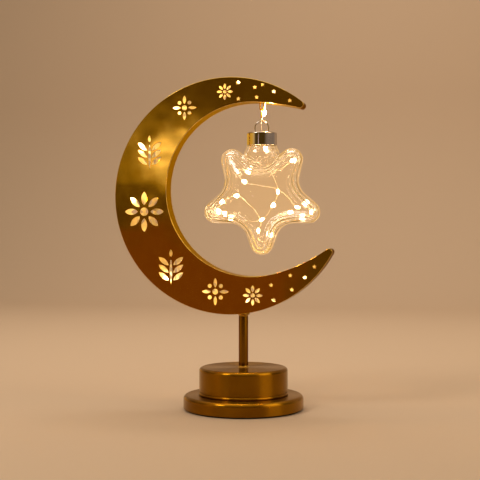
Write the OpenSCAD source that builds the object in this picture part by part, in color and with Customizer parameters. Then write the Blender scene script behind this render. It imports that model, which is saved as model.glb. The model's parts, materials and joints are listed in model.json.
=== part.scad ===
// Crescent table lamp with a hanging glass star.
// The origin is the centre of the foot ring's underside, with +Z up and the front face towards -Y.

/* [Crescent] */
// Radius of the outer edge
crescent_outer_r = 109; // [100:1:118]
// Width of the band where it is widest
crescent_band_w = 50.4; // [46:0.2:54]
// How far the inner edge sits off centre, towards the opening
crescent_offset = 21.4; // [18:0.2:24]
// Direction of the opening, above the horizontal
opening_tilt = 16; // [10:1:22]
// Depth from front to back
crescent_depth = 18; // [14:0.5:26]
// Thickness of the plates and the rim strips
sheet_t = 1; // [0.6:0.1:1.4]
// Rounding radius of both tips
tip_round = 3.2; // [2:0.1:4.5]
// Direction of the upper tip from the outer centre
upper_tip_angle = 51.3; // [46:0.1:56]
// Direction of the lower tip from the outer centre
lower_tip_angle = -29; // [-34:0.1:-24]
// Where the inner edge flattens towards the upper tip, round the inner centre
upper_flat_angle = 85; // [78:1:92]
// Where the inner edge flattens towards the lower tip, round the inner centre
lower_flat_angle = -77; // [-84:1:-70]
// How far the outer centre sits to the left of the stem
crescent_lean = 12.3; // [6:0.1:18]

/* [Pierced work] */
// Width of the bridges left between the petals
bridge_w = 1.2; // [0.8:0.1:2]
// Reach of the small star holes from their middle
star_hole_r = 2.1; // [1.2:0.1:2.6]

/* [Stem] */
// Outer radius of the tube
stem_r = 4.35; // [3.5:0.05:6]
// Wall of the tube
stem_wall = 0.8; // [0.5:0.1:1.2]
// Length in view between the drum and the crescent
stem_view_h = 49.6; // [40:0.2:80]
// Height of the braze fillets
braze_h = 1.6; // [1:0.1:2.4]

/* [Base] */
// Radius of the disc
disc_r = 55.5; // [54:0.5:66]
// Height of the disc
disc_h = 12.2; // [11:0.1:16]
// Rounding of the disc's top edge
disc_edge_round = 3.5; // [2:0.1:4.5]
// Radius of the drum
drum_r = 41; // [40:0.5:46]
// Height of the drum
drum_h = 25.2; // [20:0.1:36]
// Rounding of the drum's edges
drum_edge_round = 3.2; // [2:0.1:4.5]
// Sheet of the disc and the drum
base_sheet = 1.2; // [0.8:0.1:1.6]
// Thickness of the foam foot ring
foot_t = 1.2; // [1:0.1:2]
// Width of the foam foot ring
foot_w = 5.5; // [4:0.1:6]
// Thickness of the closing plate and the battery door
plate_t = 2.4; // [2.2:0.1:3]

/* [Battery box] */
// Radius of a cell
cell_r = 5.25; // [5:0.05:5.4]
// Length of a cell with its terminal
cell_l = 44.5; // [43:0.1:45]
// Number of cells
cell_count = 3; // [2:1:3]
// Wall of the battery box
box_wall = 1.5; // [1.2:0.1:2]
// Radius of the door's hinge pins
hinge_pin_r = 0.6; // [0.5:0.05:0.7]

/* [Switch] */
// Length of the switch knob
knob_l = 4; // [3:0.1:5]
// Width of the switch knob
knob_w = 3; // [2:0.1:4]
// Travel of the switch knob
knob_travel = 4; // [3:0.1:5]

/* [Hanger] */
// Place of the hanger, to the right of the stem
hanger_x = 17.3; // [12:0.1:22]
// Wire radius of the staple
staple_wire_r = 0.6; // [0.4:0.05:0.8]
// Outer width of the staple
staple_w = 4.6; // [4.2:0.1:6]
// Drop of the staple's bend below the rim
staple_drop = 7.1; // [6:0.1:9]
// Wire radius of the link
link_wire_r = 0.55; // [0.4:0.05:0.7]
// Outer length of the link
link_l = 13.8; // [12:0.1:18]
// Outer width of the link
link_w = 5.6; // [5:0.1:6.5]
// Play between two hooked wires
hook_play = 0.2; // [0.1:0.05:0.3]
// Wire radius of the bail
bail_wire_r = 0.6; // [0.45:0.05:0.8]
// Radius of the bail's loop, to the middle of the wire
bail_loop_r = 6.4; // [5.5:0.1:7]

/* [Star] */
// Reach of the star's points before they are rounded
star_point_r = 74; // [70:0.5:78]
// Reach of the notches before they are rounded
star_notch_r = 31.5; // [29:0.5:34]
// Rounding of the points
star_point_round = 10; // [8:0.1:11]
// Rounding of the notches
star_notch_round = 16.5; // [12:0.5:18]
// Half of the star's depth
star_half_d = 23; // [18:0.5:28]
// Wall of the glass
glass_wall = 2.4; // [1.8:0.1:3]
// Outer radius of the neck inside the cap
neck_r = 13; // [12:0.1:14]
// Distance from the cap's lower edge to the star's middle
neck_drop = 47.9; // [46:0.2:52]
// Radius of the cap
cap_r = 13.85; // [13.5:0.05:15.5]
// Height of the cap
cap_h = 11.8; // [9:0.1:14]
// Sheet of the cap
cap_sheet = 0.6; // [0.4:0.05:0.7]

/* [Lights] */
// Radius of the light wire
wire_r = 0.4; // [0.3:0.05:0.5]
// Radius of a light bead
bead_r = 1.4; // [1:0.1:1.6]
// Length of a light bead
bead_l = 5; // [4:0.1:6]

/* [Hidden] */

$fn = 64;
fine_fn = 180;
wire_fn = 24;
// Overrun of every cut past the face that it opens
over = 1;
// Gap between pieces that are seated on each other
seat_gap = 0.2;
// Running clearance of the door's pins and the braze fits
pin_play = 0.06;

// Plane geometry of the crescent, as [x, z] seen from the front
function polar(r, a) = [r * cos(a), r * sin(a)];
function unit(v) = v / norm(v);

disc_top_z = foot_t + disc_h;
drum_top_z = disc_top_z + drum_h;
outer_centre = [
    -crescent_lean,
    drum_top_z + stem_view_h + sqrt(pow(crescent_outer_r, 2) - pow(crescent_lean, 2))
];
inner_centre = outer_centre + polar(crescent_offset, opening_tilt);
crescent_inner_r = crescent_outer_r + crescent_offset - crescent_band_w;
upper_tip = outer_centre + polar(crescent_outer_r - tip_round, upper_tip_angle);
lower_tip = outer_centre + polar(crescent_outer_r - tip_round, lower_tip_angle);

// A flatter arc that leaves the inner edge at join_angle and touches the tip's rounding: [centre, radius]
function flank_join(join_angle) = inner_centre + polar(crescent_inner_r, join_angle);
function flank_radius(join, tip) =
    (pow(norm(tip - join), 2) - pow(tip_round, 2))
    / (2 * ((tip - join) * unit(inner_centre - join) + tip_round));
function flank(join_angle, tip) =
    let (join = flank_join(join_angle), r = flank_radius(join, tip))
    [join + r * unit(inner_centre - join), r];

upper_flank = flank(upper_flat_angle, upper_tip);
lower_flank = flank(lower_flat_angle, lower_tip);

function direction(p) = atan2(p[1] - outer_centre[1], p[0] - outer_centre[0]);
upper_join_dir = direction(flank_join(upper_flat_angle));
lower_join_dir = direction(flank_join(lower_flat_angle));

// Distance from the outer centre to a circle, along direction a
function ray_reach(a, centre, r) =
    let (offset = centre - outer_centre, along = offset * polar(1, a))
    along + sqrt(r * r - offset * offset + along * along);
function inner_reach(a) =
    a > 0 && a < upper_join_dir ? ray_reach(a, upper_flank[0], upper_flank[1])
    : a <= 0 && a > lower_join_dir ? ray_reach(a, lower_flank[0], lower_flank[1])
    : ray_reach(a, inner_centre, crescent_inner_r);
function band_width(a) = crescent_outer_r - inner_reach(a);
function band_point(a, share) = outer_centre + polar(inner_reach(a) + share * band_width(a), a);

// Lies a drawing in the XZ plane and gives it thickness from y0 towards +Y
module upright(y0, thickness) {
    translate([0, y0 + thickness, 0])
        rotate([90, 0, 0])
            linear_extrude(thickness)
                children();
}

module disc_at(p, r, fn = fine_fn) {
    translate(p)
        circle(r, $fn = fn);
}

// Everything inside the inner edge, grown by a sheet where grow is given
module hollow_area(grow = 0) {
    reach = 2 * crescent_outer_r;
    disc_at(inner_centre, crescent_inner_r + grow);
    intersection() {
        disc_at(upper_flank[0], upper_flank[1] + grow);
        translate(inner_centre)
            rotate(upper_flat_angle)
                translate([0, -reach])
                    square(reach);
    }
    intersection() {
        disc_at(lower_flank[0], lower_flank[1] + grow);
        translate(inner_centre)
            rotate(lower_flat_angle)
                square(reach);
    }
}

// The sharp horn past a tip's rounding, between the two points where the rounding touches the edges
module horn_area(tip, flank_centre) {
    reach = 6 * tip_round;
    to_outer = unit(tip - outer_centre);
    to_inner = unit(flank_centre - tip);
    polygon([
        tip,
        tip + reach * to_outer,
        tip + reach * unit(to_outer + to_inner),
        tip + reach * to_inner
    ]);
}

module horn_areas() {
    horn_area(upper_tip, upper_flank[0]);
    horn_area(lower_tip, lower_flank[0]);
}

// Outline of the crescent, drawn in by inset
module crescent_area(inset = 0) {
    difference() {
        disc_at(outer_centre, crescent_outer_r - inset);
        hollow_area(inset);
        horn_areas();
    }
    disc_at(upper_tip, tip_round - inset, $fn);
    disc_at(lower_tip, tip_round - inset, $fn);
}

module rim_area() {
    difference() {
        crescent_area();
        crescent_area(sheet_t);
    }
}

// The part of the rim that the outer strip takes: the outer edge and both tips
module outer_strip_area() {
    difference() {
        disc_at(outer_centre, crescent_outer_r + over);
        disc_at(outer_centre, crescent_outer_r - sheet_t);
        hollow_area(sheet_t);
    }
    horn_areas();
}

// Pierced motifs: [direction, share across the band, size as a share of the band's width, kind]
motif_shares = [
    [92, 0.5, 0.56, 0],
    [117, 0.52, 0.62, 1],
    [151, 0.5, 0.68, 2],
    [-170, 0.46, 0.74, 0],
    [-130, 0.5, 0.68, 2],
    [-98, 0.5, 0.62, 1],
    [-76, 0.54, 0.56, 0]
];
// Small star holes: [direction, share across the band]
star_hole_shares = [
    [85, 0.79], [76, 0.66], [72.5, 0.86], [84, 0.17], [73.5, 0.22], [66, 0.68], [56.5, 0.46],
    [-64, 0.35], [-66, 0.83], [-51.6, 0.27], [-55.4, 0.79], [-46.3, 0.68], [-39, 0.56]
];
rosette_petals = 8;
cross_petals = 4;
leaf_pairs = 3;
petal_shares = [0.17, 0.5];
petal_waist_share = 0.44;
hub_share = 0.1;
long_petal_waist_share = 0.36;
cross_dot_place_share = 0.3;
cross_dot_share = 0.07;
stem_slot_share = 0.07;
leaf_share = 0.36;
leaf_waist_share = 0.36;
leaf_angle = 38;
bud_share = 0.24;

// A leaf shape with both ends on the x axis, from two arcs
module lens(length, width) {
    r = (length * length + width * width) / (4 * width);
    intersection() {
        disc_at([0, r - width / 2], r, $fn);
        disc_at([0, width / 2 - r], r, $fn);
    }
}

module petal_ring(size, count, waist_share) {
    length = size * (petal_shares[1] - petal_shares[0]);
    for (i = [0:count - 1])
        rotate(i * 360 / count)
            translate([size * (petal_shares[0] + petal_shares[1]) / 2, 0])
                lens(length, length * waist_share);
}

module rosette(size) {
    circle(size * hub_share);
    petal_ring(size, rosette_petals, petal_waist_share);
}

module petal_cross(size) {
    circle(size * hub_share);
    petal_ring(size, cross_petals, long_petal_waist_share);
    for (i = [0:cross_petals - 1])
        rotate((i + 1 / 2) * 360 / cross_petals)
            translate([size * cross_dot_place_share, 0])
                circle(size * cross_dot_share);
}

// An upright spray: a slender slot with leaves in pairs and a bud on top
module leaf_spray(size) {
    leaf_l = size * leaf_share;
    pitch = (size - size * bud_share) / (leaf_pairs + 1 / 2);
    translate([0, -size * bud_share / 2])
        rotate(90)
            lens(size - size * bud_share, size * stem_slot_share);
    translate([0, (size - size * bud_share) / 2])
        rotate(90)
            lens(size * bud_share - bridge_w, size * bud_share * leaf_waist_share);
    for (i = [0:leaf_pairs - 1])
        for (side = [-1, 1])
            translate([side * (size * stem_slot_share / 2 + bridge_w), -size / 2 + (i + 1 / 2) * pitch])
                rotate(90 - side * (90 - leaf_angle))
                    translate([leaf_l / 2, 0])
                        lens(leaf_l, leaf_l * leaf_waist_share);
}

module star_hole() {
    polygon([for (i = [0:9]) polar(i % 2 == 0 ? star_hole_r : star_hole_r / 2, 90 + i * 36)]);
}

module pierced_area() {
    for (m = motif_shares) {
        size = m[2] * band_width(m[0]);
        translate(band_point(m[0], m[1]))
            if (m[3] == 0)
                rosette(size);
            else if (m[3] == 1)
                petal_cross(size);
            else
                leaf_spray(size);
    }
    for (h = star_hole_shares)
        translate(band_point(h[0], h[1]))
            star_hole();
}

module crescent_plate(y0) {
    upright(y0, sheet_t)
        difference() {
            crescent_area();
            pierced_area();
        }
}

module crescent_front_plate() {
    color("goldenrod")
        crescent_plate(-crescent_depth / 2);
}

module crescent_back_plate() {
    color("goldenrod")
        crescent_plate(crescent_depth / 2 - sheet_t);
}

// Holes that lead the light wire through the rims
lead_hole_r = wire_r + seat_gap;
lead_x = hanger_x + staple_w / 2 + wire_r + seat_gap;

function rim_under(x) = upper_flank[0][1] + sqrt(pow(upper_flank[1], 2) - pow(x - upper_flank[0][0], 2));
staple_bend_r = staple_w / 2 - staple_wire_r;
staple_leg_top_z = rim_under(hanger_x) + 2 * sheet_t;
staple_z = rim_under(hanger_x) - staple_drop + staple_wire_r;

module crescent_outer_rim() {
    color("darkgoldenrod")
        difference() {
            upright(-crescent_depth / 2 + sheet_t, crescent_depth - 2 * sheet_t)
                intersection() {
                    rim_area();
                    outer_strip_area();
                }
            translate([0, 0, drum_top_z + stem_view_h - over])
                cylinder(h = 2 * sheet_t + 2 * over, r = lead_hole_r, $fn = wire_fn);
        }
}

module crescent_inner_rim() {
    color("darkgoldenrod")
        difference() {
            upright(-crescent_depth / 2 + sheet_t, crescent_depth - 2 * sheet_t)
                difference() {
                    rim_area();
                    outer_strip_area();
                }
            translate([0, 0, rim_under(hanger_x) - sheet_t]) {
                for (side = [-1, 1])
                    translate([hanger_x + side * staple_bend_r, 0, 0])
                        cylinder(h = 4 * sheet_t, r = staple_wire_r + pin_play, $fn = wire_fn);
                translate([lead_x, 0, 0])
                    cylinder(h = 4 * sheet_t, r = lead_hole_r, $fn = wire_fn);
            }
        }
}

// The staple: a wire bend whose two legs stand in the inner rim
module hanging_staple() {
    leg_h = staple_leg_top_z - staple_z - staple_bend_r;
    color("goldenrod")
        translate([hanger_x, 0, 0]) {
            translate([0, 0, staple_z + staple_bend_r])
                rotate([90, 180, 0])
                    rotate_extrude(angle = 180)
                        translate([staple_bend_r, 0])
                            circle(staple_wire_r, $fn = wire_fn);
            for (side = [-1, 1])
                translate([side * staple_bend_r, 0, staple_z + staple_bend_r])
                    cylinder(h = leg_h, r = staple_wire_r, $fn = wire_fn);
        }
}

// A closed wire ring with straight sides, standing in the YZ plane, by its outer size
module wire_ring(length, width, wire_radius) {
    bend = width / 2 - wire_radius;
    half = length / 2 - width / 2;
    for (turn = [0, 180])
        rotate([turn, 0, 0])
            translate([0, 0, half])
                rotate([90, 0, 90])
                    rotate_extrude(angle = 180)
                        translate([bend, 0])
                            circle(wire_radius, $fn = wire_fn);
    for (side = [-1, 1])
        translate([0, side * bend, -half])
            cylinder(h = 2 * half, r = wire_radius, $fn = wire_fn);
}

link_top_z = staple_z + staple_wire_r + hook_play + link_wire_r;
link_bottom_z = link_top_z - link_l + 2 * link_wire_r;
bail_top_z = link_bottom_z + link_wire_r + hook_play + bail_wire_r;

module hanging_link() {
    color("goldenrod")
        translate([hanger_x, 0, (link_top_z + link_bottom_z) / 2])
            wire_ring(link_l, link_w, link_wire_r);
}

// Swept wire: rings of points square to the route, closed at both ends
function tangent_at(route, i) =
    unit(route[min(i + 1, len(route) - 1)] - route[max(i - 1, 0)]);
function any_normal(t) = unit(cross(t, abs(t[1]) < 0.9 ? [0, 1, 0] : [1, 0, 0]));
function carried(normal, t) = unit(normal - (normal * t) * t);
function normals(route, i = 0, list = []) =
    i == len(route) ? list
    : let (t = tangent_at(route, i), n = i == 0 ? any_normal(t) : carried(list[i - 1], t))
    normals(route, i + 1, concat(list, [n]));

module swept_wire(route, r, sides = 8) {
    n = normals(route);
    last = len(route) - 1;
    points = [
        for (i = [0:last])
            let (t = tangent_at(route, i), b = cross(t, n[i]))
            for (k = [0:sides - 1])
                route[i] + r * (cos(k * 360 / sides) * n[i] + sin(k * 360 / sides) * b)
    ];
    faces = concat(
        [[for (k = [0:sides - 1]) k]],
        [
            for (i = [0:last - 1])
                for (k = [0:sides - 1])
                    let (a = i * sides + k, b = i * sides + (k + 1) % sides)
                    for (f = [[a, a + sides, b + sides], [a, b + sides, b]])
                        f
        ],
        [[for (k = [0:sides - 1]) last * sides + sides - 1 - k]]
    );
    polyhedron(points, faces);
}

// Smooth curve through hand-placed points
function between(p0, p1, p2, p3, t) =
    (2 * p1 + t * (p2 - p0) + t * t * (2 * p0 - 5 * p1 + 4 * p2 - p3)
    + t * t * t * (3 * p1 - p0 - 3 * p2 + p3)) / 2;
function smooth(p, steps) = [
    for (i = [0:len(p) - 2])
        for (s = [0:steps - (i == len(p) - 2 ? 0 : 1)])
            between(p[max(i - 1, 0)], p[i], p[i + 1], p[min(i + 2, len(p) - 1)], s / steps)
];

// The wire in the crescent follows the outer rim a bead's radius inside it
wire_ring_r = crescent_outer_r - sheet_t - seat_gap - bead_r;
function ring_point(a) = [outer_centre[0] + wire_ring_r * cos(a), 0, outer_centre[1] + wire_ring_r * sin(a)];
wire_start_angle = -96;
wire_end_angle = direction([lead_x, rim_under(lead_x)]) - 360 - 4;
wire_step_angle = 6;
wire_arc_steps = floor((wire_start_angle - wire_end_angle) / wire_step_angle);
lead_bend_gap = 0.35;
// Where the light wire is soldered to the control board
solder_y = 4;

module crescent_light_wire() {
    rise_z = drum_top_z + stem_view_h;
    route = concat(
        [
            [0, solder_y, board_z + board_t + wire_r],
            [0, solder_y / 2, board_z + board_t + wire_r],
            [0, wire_r, board_z + board_t + solder_y / 2],
            [0, 0, board_z + board_t + solder_y]
        ],
        [[0, 0, (board_z + drum_top_z) / 2], [0, 0, drum_top_z], [0, 0, rise_z - bead_r]],
        [[0, 0, rise_z + sheet_t], [-wire_r, 0, rise_z + sheet_t + bead_r], ring_point(wire_start_angle + 4)],
        [for (i = [0:wire_arc_steps]) ring_point(wire_start_angle - i * wire_step_angle)],
        [[lead_x - bead_r, 0, ring_point(wire_end_angle + 4)[2] - bead_r / 2]],
        [[lead_x, 0, ring_point(wire_end_angle + 4)[2] - 3 * bead_r]],
        [[lead_x, 0, rim_under(lead_x) + sheet_t]],
        [[lead_x, 0, staple_z + lead_bend_gap]]
    );
    color("tan")
        swept_wire(route, wire_r);
}

// Sets children at a point with their z axis turned towards another
module aimed(from, to) {
    run = to - from;
    translate(from)
        rotate([0, acos(run[2] / norm(run)), atan2(run[1], run[0])])
            children();
}

// A bead: a short rod with round ends, lying along z
module bead() {
    straight = bead_l - 2 * bead_r;
    translate([0, 0, -straight / 2])
        cylinder(h = straight, r = bead_r, $fn = wire_fn);
    for (end = [-1, 1])
        translate([0, 0, end * straight / 2])
            sphere(bead_r, $fn = wire_fn);
}

// Beads threaded on a route, at the numbered points
module beads_on(route, numbers) {
    for (i = numbers)
        aimed(route[i], route[i] + tangent_at(route, i))
            bead();
}

crescent_bead_angles = [85, 104, 126, 152, 180, -156, -130, -110];
module crescent_light_beads() {
    color("lightyellow")
        for (a = crescent_bead_angles)
            translate(ring_point(a))
                rotate([0, -a, 0])
                    bead();
}

module stem_tube() {
    bore_r = stem_r - stem_wall;
    color("goldenrod")
        difference() {
            translate([0, 0, drum_top_z - base_sheet])
                cylinder(h = stem_view_h + base_sheet + stem_r, r = stem_r);
            translate([0, 0, drum_top_z - base_sheet - over])
                cylinder(h = stem_view_h + base_sheet + stem_r + 2 * over, r = bore_r);
            crescent_envelope();
        }
}

// The round of the crescent's outer edge, for pieces that are coped to it
module crescent_envelope() {
    upright(-crescent_depth, 2 * crescent_depth)
        disc_at(outer_centre, crescent_outer_r);
}

// Half section of a concave fillet between a tube and a flat below it
module fillet_half(size) {
    translate([stem_r, 0])
        difference() {
            square(size);
            translate([size, size])
                circle(size, $fn = wire_fn);
        }
}

module stem_foot_braze() {
    color("darkgoldenrod")
        translate([0, 0, drum_top_z])
            rotate_extrude()
                fillet_half(braze_h);
}

module stem_top_braze() {
    color("darkgoldenrod")
        difference() {
            translate([0, 0, drum_top_z + stem_view_h - braze_h / 2])
                rotate_extrude() {
                    mirror([0, 1])
                        fillet_half(braze_h);
                    translate([stem_r, 0])
                        square([braze_h, 2 * braze_h]);
                }
            crescent_envelope();
        }
}

// Half profile with a rounded top and bottom edge, for a revolve
module rounded_half(r, h, top_round, bottom_round) {
    translate([0, bottom_round])
        square([r, h - top_round - bottom_round]);
    translate([0, 0])
        square([r - bottom_round, bottom_round]);
    translate([0, h - top_round])
        square([r - top_round, top_round]);
    intersection() {
        square([r, h]);
        union() {
            translate([r - top_round, h - top_round])
                circle(top_round);
            translate([r - bottom_round, bottom_round])
                circle(bottom_round);
        }
    }
}

drum_mouth_r = drum_r - drum_edge_round - 2 * base_sheet;
module drum_cover() {
    color("darkgoldenrod")
        translate([0, 0, disc_top_z])
            difference() {
                rotate_extrude($fn = fine_fn)
                    difference() {
                        rounded_half(drum_r, drum_h, drum_edge_round, drum_edge_round);
                        translate([0, base_sheet])
                            rounded_half(drum_r - base_sheet, drum_h - 2 * base_sheet,
                                drum_edge_round - base_sheet, drum_edge_round - base_sheet);
                        square([drum_mouth_r, drum_h / 2]);
                    }
                translate([0, 0, drum_h / 2])
                    cylinder(h = drum_h, r = stem_r + pin_play);
            }
}

box_inner_w = 2 * cell_count * cell_r + (cell_count + 1) * box_wall / 2;
spring_l = 3.5;
contact_t = 0.4;
box_inner_l = cell_l + spring_l + 2 * contact_t + 2 * seat_gap;
box_inner_h = 2 * cell_r + 2 * seat_gap;
box_h = box_inner_h + box_wall;
box_z = foot_t + plate_t;
box_passage_r = norm([box_inner_w / 2 + box_wall, box_inner_l / 2 + box_wall]) + seat_gap;

// Places of the closing plate's screws, between the passage and the foot ring
foot_outer_r = disc_r - base_sheet - seat_gap - over;
foot_inner_r = foot_outer_r - foot_w;
screw_place_r = (box_passage_r + foot_inner_r) / 2 + over;
screw_count = 4;
screw_r = 1.25;
screw_head_r = 2.5;
screw_post_r = 2.9;

module screw_places() {
    for (i = [0:screw_count - 1])
        rotate(45 + i * 360 / screw_count)
            translate([screw_place_r, 0, 0])
                children();
}

module base_disc() {
    inner_r = disc_r - base_sheet;
    post_h = disc_h - base_sheet - plate_t;
    color("darkgoldenrod")
        translate([0, 0, foot_t]) {
            rotate_extrude($fn = fine_fn)
                difference() {
                    rounded_half(disc_r, disc_h, disc_edge_round, base_sheet / 2);
                    translate([0, -disc_edge_round])
                        rounded_half(inner_r, disc_h - base_sheet + disc_edge_round,
                            disc_edge_round - base_sheet, disc_edge_round - base_sheet);
                    square([box_passage_r, 2 * disc_h]);
                }
            screw_places()
                translate([0, 0, plate_t])
                    difference() {
                        cylinder(h = post_h, r = screw_post_r, $fn = wire_fn);
                        translate([0, 0, -over])
                            cylinder(h = post_h - base_sheet + over, r = screw_r, $fn = wire_fn);
                    }
        }
}

// Battery door: [width, length], hinged at its edge towards +Y
door_w = box_inner_w;
door_l = box_inner_l;
door_gap = 0.3;
hinge_y = door_l / 2 - plate_t / 2;
hinge_z = foot_t + plate_t / 2;
hinge_pin_l = 2;
latch_w = 8;
latch_l = 3;
switch_x = box_inner_w / 2 + box_wall + 6;

module box_2d(w, l) {
    square([w, l], center = true);
}

knob_slot_w = knob_w + 2 * seat_gap;
knob_slot_l = knob_l + knob_travel + 2 * seat_gap;
knob_y0 = -knob_travel / 2;

module closing_plate() {
    socket_h = hinge_pin_l + over + seat_gap;
    color("dimgray")
        difference() {
            translate([0, 0, foot_t])
                difference() {
                    cylinder(h = plate_t, r = disc_r - base_sheet - seat_gap, $fn = fine_fn);
                    translate([0, 0, -over])
                        linear_extrude(plate_t + 2 * over) {
                            box_2d(door_w + 2 * door_gap, door_l + 2 * door_gap);
                            translate([0, -door_l / 2 - latch_l / 2])
                                box_2d(latch_w + 2 * door_gap, latch_l + 2 * door_gap);
                            translate([switch_x, 0])
                                box_2d(knob_slot_w, knob_slot_l);
                        }
                    screw_places() {
                        translate([0, 0, -over])
                            cylinder(h = plate_t + 2 * over, r = screw_r + seat_gap, $fn = wire_fn);
                        cylinder(h = screw_head_r - screw_r, r1 = screw_head_r + seat_gap,
                            r2 = screw_r + seat_gap, $fn = wire_fn);
                    }
                }
            // Sockets for the door's hinge pins
            for (side = [-1, 1])
                translate([side * (door_w / 2 - over), hinge_y, hinge_z])
                    rotate([0, side * 90, 0])
                        cylinder(h = socket_h, r = hinge_pin_r + pin_play, $fn = wire_fn);
        }
}

module plate_screws() {
    head_h = screw_head_r - screw_r;
    color("silver")
        screw_places()
            translate([0, 0, foot_t])
                difference() {
                    union() {
                        translate([0, 0, seat_gap])
                            cylinder(h = head_h, r1 = screw_head_r, r2 = screw_r - pin_play, $fn = wire_fn);
                        translate([0, 0, seat_gap + head_h])
                            cylinder(h = disc_h - 3 * base_sheet - seat_gap - head_h,
                                r = screw_r - pin_play, $fn = wire_fn);
                    }
                    cross_recess();
                }
}

// Cross recess in a screw's head, cut from below
recess_w = 0.6;
recess_h = 0.9;
module cross_recess() {
    for (turn = [0, 90])
        rotate(turn)
            translate([-screw_r, -recess_w / 2, 0])
                cube([2 * screw_r, recess_w, recess_h]);
}

module foot_ring() {
    color("black")
        difference() {
            cylinder(h = foot_t, r = foot_outer_r, $fn = fine_fn);
            translate([0, 0, -over])
                cylinder(h = foot_t + 2 * over, r = foot_inner_r, $fn = fine_fn);
        }
}

ear_r = 3.4;
box_screw_r = 1;
ear_y = box_inner_l / 2 + ear_r + box_wall / 2;

module ear_places() {
    for (side = [-1, 1])
        translate([side * box_inner_w / 3, side * ear_y, 0])
            children();
}

// Open-bottomed battery box with a hollow for each cell and two screw ears
module battery_box() {
    outer_w = box_inner_w + 2 * box_wall;
    outer_l = box_inner_l + 2 * box_wall;
    color("black")
        translate([0, 0, box_z])
            difference() {
                union() {
                    linear_extrude(box_h)
                        box_2d(outer_w, outer_l);
                    ear_places()
                        cylinder(h = box_wall, r = ear_r, $fn = wire_fn);
                }
                translate([0, 0, -over])
                    linear_extrude(box_inner_h + over)
                        box_2d(box_inner_w, box_inner_l);
                ear_places()
                    translate([0, 0, -over])
                        cylinder(h = box_wall + 2 * over, r = box_screw_r + seat_gap, $fn = wire_fn);
                // Passage for the wires at the roof
                translate([0, 0, box_inner_h - over])
                    cylinder(h = box_wall + 2 * over, r = 2 * lead_hole_r, $fn = wire_fn);
            }
}

module box_screws() {
    color("silver")
        ear_places()
            translate([0, 0, box_z + box_wall + pin_play]) {
                cylinder(h = box_screw_r, r = 2 * box_screw_r, $fn = wire_fn);
                translate([0, 0, -box_wall])
                    cylinder(h = box_wall, r = box_screw_r, $fn = wire_fn);
            }
}

cell_pitch = 2 * cell_r + box_wall / 2;
cell_z = box_z + seat_gap + cell_r;
terminal_r = 1.9;
terminal_l = 0.8;

// Places each cell in turn, every other one turned end for end
module cell_places() {
    for (i = [0:cell_count - 1])
        translate([(i - (cell_count - 1) / 2) * cell_pitch, 0, cell_z])
            rotate(i % 2 == 0 ? 0 : 180)
                children();
}

cell_y0 = -box_inner_l / 2 + contact_t + spring_l + seat_gap;
module battery_cells() {
    color("steelblue")
        cell_places()
            translate([0, cell_y0, 0])
                rotate([-90, 0, 0]) {
                    cylinder(h = cell_l - terminal_l, r = cell_r);
                    cylinder(h = cell_l, r = terminal_r);
                }
}

contact_w = 2 * cell_r - box_wall;
module contact_plates() {
    color("silver")
        cell_places()
            for (y = [-box_inner_l / 2, box_inner_l / 2 - contact_t])
                translate([-contact_w / 2, y, -contact_w / 2])
                    cube([contact_w, contact_t, contact_w]);
}

// Conical contact springs
spring_turns = 3;
spring_wire_r = 0.25;
spring_wide_r = 3;
spring_narrow_r = 1.6;
spring_rings = 8;
function spring_route() = [
    for (i = [0:spring_turns * spring_rings])
        let (share = i / (spring_turns * spring_rings), a = i * 360 / spring_rings)
        let (r = spring_wide_r + share * (spring_narrow_r - spring_wide_r))
        [
            r * cos(a),
            -box_inner_l / 2 + contact_t + seat_gap + spring_wire_r
                + share * (spring_l - 2 * seat_gap - 2 * spring_wire_r),
            r * sin(a)
        ]
];
spring_gap = norm([
    (spring_wide_r - spring_narrow_r) / spring_turns,
    (spring_l - 2 * seat_gap - 2 * spring_wire_r) / spring_turns
]) - 2 * spring_wire_r;
echo(least_gap_between_spring_turns = spring_gap);

module contact_springs() {
    color("silver")
        cell_places()
            swept_wire(spring_route(), spring_wire_r, 6);
}

board_w = 20;
board_l = 12;
board_t = 1.2;
board_z = box_z + box_h + seat_gap;
module control_board() {
    color("darkgreen")
        translate([-board_w / 2, lead_hole_r + wire_r, board_z])
            cube([board_w, board_l, board_t]);
}

// Chips: place across and along the board, width and length, as shares of the board; height of its thickness
chip_shares = [[0.2, 0.5, 0.2, 0.42, 1.2], [0.62, 0.5, 0.15, 0.18, 0.8], [0.85, 0.6, 0.1, 0.25, 1]];
module board_chips() {
    color("black")
        for (c = chip_shares)
            translate([
                board_w * (c[0] - c[2] / 2 - 1 / 2),
                lead_hole_r + wire_r + board_l * (c[1] - c[3] / 2),
                board_z + board_t
            ])
                cube([board_w * c[2], board_l * c[3], board_t * c[4]]);
}

housing_w = 6;
housing_l = 12;
housing_h = 4;
knob_rise = 1.6;

module switch_housing() {
    color("silver")
        translate([switch_x, 0, box_z])
            difference() {
                translate([-housing_w / 2, -housing_l / 2, 0])
                    cube([housing_w, housing_l, housing_h]);
                translate([-knob_slot_w / 2, -knob_slot_l / 2, -over])
                    cube([knob_slot_w, knob_slot_l, knob_rise + seat_gap + over]);
            }
}

module switch_knob() {
    color("black")
        translate([switch_x - knob_w / 2, knob_y0 - knob_l / 2, foot_t + seat_gap])
            difference() {
                cube([knob_w, knob_l, plate_t + knob_rise - seat_gap]);
                for (i = [1:3])
                    translate([-over, i * knob_l / 4 - seat_gap, -over])
                        cube([knob_w + 2 * over, 2 * seat_gap, over + 2 * seat_gap]);
            }
}

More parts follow.
